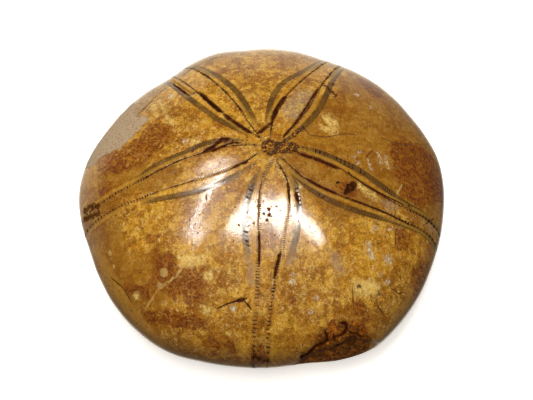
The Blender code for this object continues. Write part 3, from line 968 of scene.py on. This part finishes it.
OCHRE = tint(198, 140, 32)
HONEY = tint(222, 170, 54)
BROWN = tint(156, 98, 18)
UMBER = tint(88, 46, 8)
RUST = tint(150, 78, 12)
DARK_RUST = tint(100, 42, 8)
CREAM = tint(238, 206, 120)
CHALK = tint(226, 212, 178)
OLIVE = tint(100, 70, 28)
OLIVE_DARK = tint(56, 36, 10)
# Lighter olive of the rim bands, which are partly painted shade
RIM_OLIVE = tint(184, 132, 48)
VIOLET = tint(156, 130, 106)
MATRIX = tint(156, 128, 94)
MATRIX_PALE = tint(188, 164, 132)
TAN = tint(180, 144, 92)
INK = tint(42, 16, 2)
GOLD_GRAIN = tint(172, 106, 24)
CRACK_BROWN = tint(76, 32, 4)
PALE_OLIVE = tint(206, 176, 108)

# Noises: scale per mm, seed, detail, roughness, distortion
NOISES = {
    "broad": (0.075, 1.0, 3.0, 0.55, 0.6),
    "blotch": (0.30, 2.0, 5.0, 0.65, 0.8),
    "patch": (0.16, 3.0, 5.0, 0.66, 1.2),
    "grain": (0.95, 4.0, 4.0, 0.70, 0.8),
    "fleck": (1.9, 5.0, 4.0, 0.75, 0.5),
    "vein": (0.34, 6.0, 4.0, 0.62, 1.5),
    "rich": (0.22, 7.0, 3.0, 0.6, 1.0),
    "thread": (0.26, 8.0, 5.0, 0.68, 2.2),
    "scratch": (0.70, 9.0, 5.0, 0.66, 1.6),
    "stain_edge": (0.55, 11.0, 4.0, 0.65, 0.0),
    "stain_fine": (1.8, 12.0, 3.0, 0.7, 0.0),
    "streaky": (0.75, 13.0, 4.0, 0.70, 1.5),
    "blot_fine": (1.3, 21.0, 4.0, 0.7, 0.0),
    "crust_edge": (0.5, 22.0, 5.0, 0.7, 0.0),
    "crust_sharp": (1.1, 23.0, 5.0, 0.72, 0.6),
    "matrix_edge": (0.7, 31.0, 4.0, 0.6, 0.0),
    "matrix_speck": (2.4, 32.0, 4.0, 0.75, 0.0),
    "row_fine": (1.9, 41.0, 3.0, 0.7, 0.0),
    "row_slow": (0.22, 42.0, 2.0, 0.5, 0.0),
    "row_rough": (0.8, 43.0, 3.0, 0.7, 0.0),
    "crack_fine": (2.4, 51.0, 3.0, 0.6, 0.0),
    "crack_slow": (0.9, 52.0, 2.0, 0.5, 0.0),
    "disc_edge": (1.4, 61.0, 3.0, 0.6, 0.0),
    "disc_grain": (1.5, 62.0, 3.0, 0.75, 0.8),
    "hole_edge": (3.0, 65.0, 2.0, 0.6, 0.0),
    "under_edge": (0.5, 71.0, 4.0, 0.6, 0.0),
    "under_speck": (2.2, 72.0, 3.0, 0.6, 0.0),
    "worn": (2.6, 82.0, 3.0, 0.7, 0.0),
    "skin_fine": (3.2, 83.0, 3.0, 0.55, 0.0),
    "skin_swell": (0.22, 84.0, 2.0, 0.5, 0.0),
}
# Fine lines where a noise crosses a level: noise, level, half width of the line from its
# faint edge to its full middle, where it shows in the rich noise, how strong, colour
THREADS = (
    ("vein", 0.50, (0.014, 0.004), (0.46, 0.56), 0.75, UMBER),
    ("thread", 0.50, (0.016, 0.004), (0.54, 0.44), 0.60, CREAM),
    ("thread", 0.56, (0.010, 0.003), None, 0.55, UMBER),
    ("scratch", 0.47, (0.014, 0.004), None, 0.50, UMBER),
)
CRYSTAL_SCALE = 0.95      # per mm
CRYSTAL_BEND = 1.2
CRYSTAL_SHADES = (0.76, 0.48)   # the darkest crystal, and how much lighter the palest one is
PINHOLE_SCALE = 0.80      # per mm
# Heights in mm between which something sets in on the way down
# The margin turns redder and darker between these heights, downwards
REDDER_LOW_MARGIN = (21.0, 7.0)
REDDER_LOW_WOBBLE = 12.0
# Painted light: the colour is lightened between these heights, downwards, for light that the low margin
# lacks
PAINTED_LIGHT_MARGIN = (14.0, 6.0)
PAINTED_LIGHT_MARGIN_GAIN = 0.80
# Painted light: the crust's colour is lightened between these heights, downwards
PAINTED_LIGHT_CRUST = (15.0, 6.0)
PAINTED_LIGHT_CRUST_SHADES = (1.05, 1.1)
DULL_UNDERSIDE = (1.5, 0.2)
MOUTH_FILLING = (4.6, 3.8)      # mm from the middle of the mouth
# Distances from the apex in mm between which the rows set in
ROWS_BEGIN = (2.6, 5.0)
BANDS_WIDEN = (4.0, 13.0)

# Finish: roughness and gloss
POLISH = 0.10
WORN_POLISH = 0.18        # rougher by this where it is worn
OPEN_ROUGHNESS = 0.60
DULL_ROUGHNESS = 0.50
GLOSS = 0.5
OPEN_GLOSS_LOSS = -0.47
CALCITE_IOR = 1.56
# Bump heights in mm
SKIN_BUMP = 0.007
SWELL_BUMP = 0.03
ROW_BUMP = -0.02
CRACK_BUMP = -0.05
GRAIN_BUMP = 0.50
MATRIX_BUMP = 0.12


def add_node(tree, kind, feeds=(), **settings):
    """A node with its inputs fed by numbers, colours or the values of other nodes."""
    node = tree.nodes.new(kind)
    for key, value in settings.items():
        setattr(node, key, value)
    for socket, value in dict(feeds).items():
        if isinstance(value, Value):
            tree.links.new(value.socket, node.inputs[socket])
        else:
            node.inputs[socket].default_value = value
    return node


class Value:
    """A node's output, which takes part in sums as a number does."""

    def __init__(self, tree, socket):
        self.tree = tree
        self.socket = socket

    def math(self, operation, other=0.0):
        node = add_node(self.tree, "ShaderNodeMath", {0: self, 1: other}, operation=operation)
        return Value(self.tree, node.outputs[0])

    def __add__(self, other):
        return self.math("ADD", other)

    def __sub__(self, other):
        return self.math("SUBTRACT", other)

    def __mul__(self, other):
        return self.math("MULTIPLY", other)

    def __truediv__(self, other):
        return self.math("DIVIDE", other)

    def __abs__(self):
        return self.math("ABSOLUTE")

    __radd__ = __add__
    __rmul__ = __mul__

    def most(self, *others):
        result = self
        for other in others:
            result = result.math("MAXIMUM", other)
        return result

    def ramp(self, start, end, first=0.0, last=1.0):
        """first before start, last after end, smooth between; start may be the greater one."""
        if start > end:
            start, end, first, last = end, start, last, first
        feeds = {"Value": self, "From Min": start, "From Max": end,
                 "To Min": first, "To Max": last}
        node = add_node(self.tree, "ShaderNodeMapRange", feeds, interpolation_type="SMOOTHSTEP")
        return Value(self.tree, node.outputs["Result"])

    def swing(self, size):
        """A noise's swing to both sides of nothing, in millimetres."""
        return (self - 0.5) * (2.0 * size)

    def vector(self, operation, second, output=0):
        """Vector arithmetic; a SCALE takes its number on a socket of that name."""
        socket = "Scale" if operation == "SCALE" else 1
        node = add_node(self.tree, "ShaderNodeVectorMath", {0: self, socket: second},
                        operation=operation)
        return Value(self.tree, node.outputs[output])

    def parts(self):
        outputs = add_node(self.tree, "ShaderNodeSeparateXYZ", {0: self}).outputs
        return [Value(self.tree, output) for output in outputs]


class Stone:
    """The stone's material while its layers of colour are laid over each other."""

    def __init__(self, tree):
        self.tree = tree
        place = Value(tree, add_node(tree, "ShaderNodeTexCoord").outputs["Object"])
        self.place = place.vector("MULTIPLY", (1.0 / MM, 1.0 / MM, 1.0 / MM))
        self.colour = OCHRE
        self.height = self.attribute("skin_height")
        self.made = {}

    def attribute(self, name, output="Fac"):
        node = add_node(self.tree, "ShaderNodeAttribute", attribute_name=name)
        return Value(self.tree, node.outputs[output])

    def noise(self, name):
        if name not in self.made:
            scale, seed, detail, roughness, distortion = NOISES[name]
            feeds = {"Vector": self.place, "W": seed, "Scale": scale, "Detail": detail,
                     "Roughness": roughness, "Distortion": distortion}
            node = add_node(self.tree, "ShaderNodeTexNoise", feeds, noise_dimensions="4D")
            self.made[name] = Value(self.tree, node.outputs["Fac"])
        return self.made[name]

    def cells(self, place, scale, output):
        node = add_node(self.tree, "ShaderNodeTexVoronoi", {"Vector": place, "Scale": scale})
        return Value(self.tree, node.outputs[output])

    def mix(self, share, first, second):
        feeds = {0: share, 6: first, 7: second}
        return Value(self.tree, add_node(self.tree, "ShaderNodeMix", feeds,
                                         data_type="RGBA").outputs[2])

    def mark(self, kind, wobble, soft):
        """How much of a mark shows, with an edge that the wobble breaks up."""
        return (self.attribute(kind) + wobble).ramp(-soft, soft)

    def cover(self, share, colour):
        """Lays a colour over what is there, as far as the share says."""
        self.colour = self.mix(share, self.colour, colour)


def mottle(stone):
    """The polished calcite away from all marks, with painted light that lightens the low margin."""
    broad, blotch = stone.noise("broad"), stone.noise("blotch")
    grain, fleck, rich = stone.noise("grain"), stone.noise("fleck"), stone.noise("rich")
    stone.cover(broad.ramp(0.38, 0.62), BROWN)
    stone.cover(blotch.ramp(0.50, 0.55) * 0.62, HONEY)
    stone.cover(blotch.ramp(0.42, 0.38) * 0.55, BROWN)
    stone.cover(stone.noise("patch").ramp(0.56, 0.595) * 0.60, RUST)
    bent = stone.place.vector("ADD", grain * CRYSTAL_BEND)
    crystal = stone.cells(bent, CRYSTAL_SCALE, "Color")
    darkest, lighter = CRYSTAL_SHADES
    stone.colour = stone.colour.vector("SCALE", darkest + crystal * lighter)
    stone.cover(grain.ramp(0.50, 0.36) * 0.75, BROWN)
    stone.cover(grain.ramp(0.54, 0.68) * 0.70, CREAM)
    stone.cover(fleck.ramp(0.49, 0.36) * (0.18 + rich.ramp(0.42, 0.60) * 0.52), UMBER)
    stone.cover(fleck.ramp(0.54, 0.66) * (0.18 + rich.ramp(0.58, 0.40) * 0.52), CREAM)
    for name, level, width, shown, strength, colour in THREADS:
        line = abs(stone.noise(name) - level).ramp(*width)
        if shown:
            line = line * rich.ramp(*shown)
        stone.cover(line * strength, colour)
    # Redder and darker towards the margin, lower down the body
    redder_low = (stone.height + broad.swing(REDDER_LOW_WOBBLE)).ramp(*REDDER_LOW_MARGIN)
    stone.cover(redder_low * 0.32, RUST)
    # Painted light: the colour is made lighter towards the low margin
    lit = 1.0 + stone.height.ramp(*PAINTED_LIGHT_MARGIN) * PAINTED_LIGHT_MARGIN_GAIN
    stone.colour = stone.colour.vector("SCALE", lit)


def stain(stone):
    """The stains, flakes and clouds over the mottled stone, and rim bands that are partly painted shade
    and painted reflection.
    """
    edge, fine = stone.noise("stain_edge"), stone.noise("stain_fine")
    streaky = stone.noise("streaky")
    wide = edge.swing(2.2)
    brown = stone.mark("brown", edge.swing(5.0), 1.6)
    stone.cover(brown * 0.60, stone.mix(fine, UMBER, BROWN))
    # Olive rim bands: partly the rim's own tone, partly painted shade
    olive_and_shade = stone.mark("olive_and_shade", edge.swing(1.4), 0.7)
    stone.cover(olive_and_shade * 0.75, stone.mix(fine.ramp(0.50, 0.70), RIM_OLIVE, OLIVE))
    red = stone.mark("red", wide, 0.6) * (0.48 + streaky.ramp(0.40, 0.60) * 0.40)
    stone.cover(red, stone.mix(streaky.ramp(0.42, 0.54), RUST, DARK_RUST))
    # Tan back-edge bands: partly their own tone, partly painted reflection
    tan = stone.mark("tan", edge.swing(0.5), 0.4)
    stone.cover(tan * 0.75, stone.mix(fine.ramp(0.35, 0.62), OLIVE, TAN))
    stone.cover(stone.mark("violet", wide, 0.6) * 0.45, VIOLET)
    veil = fine.ramp(0.28, 0.62) * 0.90
    cloudy = fine.swing(0.8) + wide
    stone.cover(stone.mark("cream", cloudy, 1.1) * veil, CREAM)
    haze = stone.mix(edge.ramp(0.44, 0.56), VIOLET, PALE_OLIVE)
    stone.cover(stone.mark("cloud", cloudy, 1.6) * veil, haze)
    vein = stone.mark("vein", fine.swing(0.14), 0.08) * (fine * 0.80)
    stone.cover(vein, stone.mix(edge.ramp(0.42, 0.60), PALE_OLIVE, CREAM))
    white = stone.mark("white", fine.swing(0.6), 0.4) * (fine.ramp(0.26, 0.58) * 0.88)
    stone.cover(white, stone.mix(fine.ramp(0.45, 0.62), VIOLET, CHALK))


def draw_rows(stone):
    """The hatched outer bands and the thin dark inner lines of the petals."""
    fine, slow, rough = [stone.noise(name) for name in ("row_fine", "row_slow", "row_rough")]
    from_apex, shown = stone.attribute("from_apex"), stone.attribute("band_shown")
    begins = from_apex.ramp(*ROWS_BEGIN)
    widens = from_apex.ramp(*BANDS_WIDEN)
    phase = stone.attribute("pore_phase") * (2.0 * math.pi)
    wave = phase.math("SINE")
    slow_wave = (phase * 0.5).math("SINE")
    wander = fine.swing(0.20)

    width = abs(stone.attribute("row_outer") + wander)
    band = (width - (0.66 + widens * 0.24)).ramp(0.0, -0.24) * (0.15 + widens * 0.85)
    hatch = wave.ramp(-0.3, 0.7) * rough.ramp(0.30, 0.50)
    strength = 0.72 + slow.ramp(0.35, 0.65) * 0.22
    stone.cover(band * begins * shown * strength, stone.mix(hatch, OLIVE, OLIVE_DARK))
    inked = stone.mark("inked", rough.swing(0.8), 0.3)
    strokes = slow_wave.ramp(0.0, 0.6) * rough.ramp(0.36, 0.56) * inked * width.ramp(0.95, 0.65)
    stone.cover(strokes * 0.95, INK)
    edge = abs(width - 0.80).ramp(0.18, 0.05) * widens * shown * fine.ramp(0.38, 0.58)
    stone.cover(edge * 0.70, OLIVE_DARK)

    inner = stone.attribute("row_inner")
    stone.cover(abs(inner - 1.0).ramp(0.60, 0.25) * begins * 0.25, HONEY)
    thin = abs(inner + wander * 0.6)
    reach = (0.17 + slow.ramp(0.48, 0.70) * 0.16) * (0.80 + slow_wave.ramp(-0.6, 0.6) * 0.30)
    dotted = stone.attribute("pore_wide") * (wave - 1.0) + 1.0
    faded = stone.mark("faded", rough.swing(1.2), 0.5)
    line = (thin / (reach * (0.5 + fine))).ramp(1.5, 0.8) * begins
    line = line * dotted.ramp(-0.7, 0.3) * (1.0 + faded * -0.75)
    stone.cover(line * (0.56 + rough.ramp(0.35, 0.6) * 0.40), INK)
    often = rough + faded * 0.10
    ticks = wave.ramp(0.1, 0.7) * often.ramp(0.47, 0.58) * begins * thin.ramp(0.80, 0.45)
    stone.cover(ticks * 0.80, INK)
    return line.most(strokes, ticks)


def draw_blots(stone):
    """Dark blots, and the crust of the flaked margin, whose colour is lightened lower down as painted
    light.
    """
    fine, edge, sharp = [stone.noise(name) for name in ("blot_fine", "crust_edge", "crust_sharp")]
    dark = stone.mark("dark", fine.swing(2.2), 0.25)
    stone.cover(dark * 0.90, stone.mix(fine.ramp(0.35, 0.62), INK, UMBER))
    pit = stone.mark("pit", fine.swing(0.8), 0.08)
    stone.cover(pit * 0.95, stone.mix(fine.ramp(0.50, 0.62), INK, UMBER))
    crust = stone.mark("crust", edge.swing(2.8), 0.6)
    crumb = stone.mix(edge.ramp(0.42, 0.56), DARK_RUST, RUST)
    crumb = stone.mix(sharp.ramp(0.53, 0.58) * 0.55, crumb, OCHRE)
    crumb = stone.mix(sharp.ramp(0.50, 0.44) * 0.85, crumb, INK)
    crumb = stone.mix(abs(edge - 0.5).ramp(0.022, 0.008), crumb, INK)
    # Painted light: the crust is made lighter lower down
    upper, gain = PAINTED_LIGHT_CRUST_SHADES
    crumb = crumb.vector("SCALE", upper + stone.height.ramp(*PAINTED_LIGHT_CRUST) * gain)
    stone.cover(crust * 0.90, crumb)
    return dark.most(pit, crust * 0.70)


def draw_hairlines(stone):
    """Dark cracks, from their signed distance and half width."""
    fine, slow = stone.noise("crack_fine"), stone.noise("crack_slow")
    wander = fine.swing(0.10) + slow.swing(0.14)
    cracks = []
    halos = []
    for name in CRACKS:
        away, half_width, _ = stone.attribute("crack_" + name, "Vector").parts()
        inside = half_width * (0.45 + fine) - abs(away + wander)
        cracks.append(inside.ramp(-0.08, 0.06) * half_width.ramp(0.01, 0.07))
        halos.append(inside.ramp(-0.55, 0.0) * half_width.ramp(0.20, 0.34))
    stone.cover(halos[0].most(*halos[1:]) * slow.ramp(0.30, 0.62), DARK_RUST)
    crack = cracks[0].most(*cracks[1:])
    stone.cover(crack * (0.74 + slow.ramp(0.3, 0.6) * 0.22),
                stone.mix(fine.ramp(0.46, 0.64), INK, CRACK_BROWN))
    return crack


def draw_disc(stone):
    """Dark brown ring round the apex with golden grains."""
    share = stone.mark("granular", stone.noise("disc_edge").swing(0.9), 0.2)
    grain = stone.noise("disc_grain")
    level = grain + stone.attribute("granular").ramp(0.5, 1.8) * 0.06
    grains = stone.mix(level.ramp(0.52, 0.58), INK, GOLD_GRAIN)
    stone.cover(share * 0.92, stone.mix(level.ramp(0.60, 0.66), grains, HONEY))
    return share, grain


def draw_matrix(stone):
    """Grey sediment that still covers the skin at the left margin."""
    field = stone.attribute("matrix") + stone.noise("matrix_edge").swing(1.4)
    share = field.ramp(-0.12, 0.12)
    speck = stone.noise("matrix_speck")
    sediment = stone.mix(speck.ramp(0.36, 0.62), MATRIX, MATRIX_PALE)
    sediment = stone.mix(speck.ramp(0.43, 0.36) * 0.75, sediment, UMBER)
    brink = abs(field).ramp(0.30, 0.08) * speck.ramp(0.62, 0.48)
    stone.cover(share, stone.mix(brink * 0.8, sediment, UMBER))
    return share


def draw_underside(stone):
    """Duller skin below, with sediment in the mouth."""
    edge = stone.noise("under_edge")
    low = stone.height.ramp(*DULL_UNDERSIDE)
    stone.cover(low * 0.45, stone.mix(edge.ramp(0.40, 0.60), BROWN, TAN))
    filled = (stone.attribute("from_mouth") + edge.swing(1.2)).ramp(*MOUTH_FILLING)
    stone.cover(filled, stone.mix(stone.noise("under_speck"), MATRIX, UMBER))
    return low, filled


def draw_pinholes(stone):
    """Scattered open pores, small and dark."""
    chosen = stone.cells(stone.place, PINHOLE_SCALE, "Color").ramp(0.46, 0.42)
    distance = stone.cells(stone.place, PINHOLE_SCALE, "Distance")
    hole = (distance + stone.noise("hole_edge").swing(0.12)).ramp(0.19, 0.11) * chosen
    stone.cover(hole * 0.85, UMBER)
    return hole


def make_material(name):
    material = bpy.data.materials.new(name)
    material.use_nodes = True
    material.node_tree.nodes.clear()
    return material


def add_surface(tree, finish):
    surface = add_node(tree, "ShaderNodeBsdfPrincipled", finish)
    output = add_node(tree, "ShaderNodeOutputMaterial")
    tree.links.new(surface.outputs["BSDF"], output.inputs["Surface"])


def fossil_material():
    material = make_material("polished_fossil_calcite")
    stone = Stone(material.node_tree)
    mottle(stone)
    stain(stone)
    rows = draw_rows(stone)
    blots = draw_blots(stone)
    cracks = draw_hairlines(stone)
    disc, grain = draw_disc(stone)
    matrix = draw_matrix(stone)
    low, filled = draw_underside(stone)
    holes = draw_pinholes(stone)

    open_pores = rows.most(cracks, blots, holes, disc * 0.75)
    dull = matrix.most(low * 0.5, filled)
    polish = POLISH + stone.noise("worn").ramp(0.45, 0.65) * WORN_POLISH
    rough = polish + (open_pores * OPEN_ROUGHNESS).most(dull * DULL_ROUGHNESS)
    fine = stone.noise("skin_fine")
    height = (fine * SKIN_BUMP + stone.noise("skin_swell") * SWELL_BUMP + rows * ROW_BUMP
              + cracks.most(holes, blots) * CRACK_BUMP + disc * grain * GRAIN_BUMP
              + matrix * fine * MATRIX_BUMP)
    bump = add_node(stone.tree, "ShaderNodeBump", {"Strength": 1.0, "Distance": MM,
                                                   "Height": height})
    add_surface(stone.tree, {
        "Base Color": stone.colour, "Roughness": rough, "IOR": CALCITE_IOR,
        "Specular IOR Level": GLOSS + open_pores * OPEN_GLOSS_LOSS,
        "Normal": Value(stone.tree, bump.outputs["Normal"])})
    return material


# ---------------------------------------------------------------- studio
FLOOR_SIZE = 6.0          # metres
FLOOR_FINISH = {"Base Color": (0.92, 0.92, 0.92, 1.0), "Roughness": 0.9,
                "Emission Color": (1.0, 1.0, 0.97, 1.0), "Emission Strength": 0.55}
SOFTBOXES = (
    # name, centre in mm, size in mm, turn in degrees, brightness, seen in the polish
    ("over", (-8.0, 90.0, 600.0), (116.0, 66.0), -6.0, 36.0, True),
    ("over_left", (-76.0, 50.0, 600.0), (38.0, 66.0), -8.0, 36.0, True),
    ("over_right", (92.0, 40.0, 600.0), (120.0, 56.0), -32.0, 36.0, True),
    ("strip", (-252.0, 118.0, 600.0), (15.0, 136.0), -10.0, 50.0, True),
    ("strip_far", (-212.0, 250.0, 600.0), (48.0, 140.0), -26.0, 34.0, True),
    ("glow_left", (-250.0, 200.0, 640.0), (230.0, 340.0), -12.0, 1.0, True),
    ("glow_over", (0.0, 52.0, 640.0), (360.0, 220.0), -10.0, 1.0, True),
    ("ceiling", (-180.0, -200.0, 1000.0), (1050.0, 1050.0), 0.0, 3.1, False),
)
LIGHT_TINT = (1.0, 0.96, 0.89)
ROOM_TINT = (1.0, 0.92, 0.78, 1.0)
ROOM_LIGHT = 0.10
# Heights and directions are on the unit sphere round the body
PALE_LIGHT = 1.0          # of the pale side of the room
PALE_TOP = 0.45           # height where it ends
PALE_SIDE = (-0.42, 0.907, 0.0)
PALE_SPREAD = (0.35, 0.9)       # how well a direction has to agree with it
FLOOR_IN_POLISH = 0.12    # the white floor as the polish shows it
FLOOR_FULL = -0.3         # height below which it is all floor
FRONT_SHADE = 0.07        # and the body's shadow on it, in front
FRONT_SHADE_ENDS = (-0.6, 0.2)
FAR_FLOOR = (0.0, 0.53, -0.85)
FAR_FLOOR_LIGHT = 0.80    # the bright floor that the lowest edge mirrors
FAR_FLOOR_SPREAD = (0.78, 0.96)


def add_light(name, place, size, turn, brightness, glossy):
    data = bpy.data.lights.new(name, "AREA")
    data.shape = "ELLIPSE" if name.startswith("glow") else "RECTANGLE"
    data.size, data.size_y = size[0] * MM, size[1] * MM
    data.energy = brightness * math.pi * data.size * data.size_y
    data.color = LIGHT_TINT
    light = bpy.data.objects.new(name, data)
    light.location = Vector(place) * MM
    light.rotation_euler = (0.0, 0.0, math.radians(turn))
    light.visible_glossy = glossy
    bpy.context.scene.collection.objects.link(light)


def add_floor():
    half = FLOOR_SIZE / 2.0
    mesh = bpy.data.meshes.new("floor")
    mesh.from_pydata([(-half, -half, 0.0), (half, -half, 0.0), (half, half, 0.0),
                      (-half, half, 0.0)], [], [(0, 1, 2, 3)])
    material = make_material("studio_floor")
    add_surface(material.node_tree, FLOOR_FINISH)
    mesh.materials.append(material)
    floor = bpy.data.objects.new("floor", mesh)
    bpy.context.scene.collection.objects.link(floor)
    floor.visible_glossy = False
    floor.visible_diffuse = False


def add_world():
    """A dark room whose far side behind the body is pale near the floor."""
    world = bpy.data.worlds.new("studio")
    world.use_nodes = True
    tree = world.node_tree
    tree.nodes.clear()
    place = Value(tree, add_node(tree, "ShaderNodeTexCoord").outputs["Generated"])
    _, back, height = place.parts()
    far = place.vector("DOT_PRODUCT", PALE_SIDE, "Value").ramp(*PALE_SPREAD)
    pale = (height.ramp(PALE_TOP, 0.0) * far).ramp(0.0, 1.0, ROOM_LIGHT, PALE_LIGHT)
    lit = back.ramp(*FRONT_SHADE_ENDS, FRONT_SHADE, FLOOR_IN_POLISH)
    past_edge = place.vector("DOT_PRODUCT", FAR_FLOOR, "Value")
    line = past_edge.ramp(*FAR_FLOOR_SPREAD, 0.0, FAR_FLOOR_LIGHT)
    strength = pale + height.ramp(0.0, FLOOR_FULL) * lit + line
    background = add_node(tree, "ShaderNodeBackground", {"Color": ROOM_TINT, "Strength": strength})
    output = add_node(tree, "ShaderNodeOutputWorld")
    tree.links.new(background.outputs["Background"], output.inputs["Surface"])
    bpy.context.scene.world = world


add_camera()
urchin = build_urchin()
urchin.data.materials.append(fossil_material())
add_floor()
for softbox in SOFTBOXES:
    add_light(*softbox)
add_world()
bpy.context.scene.view_settings.view_transform = "Standard"
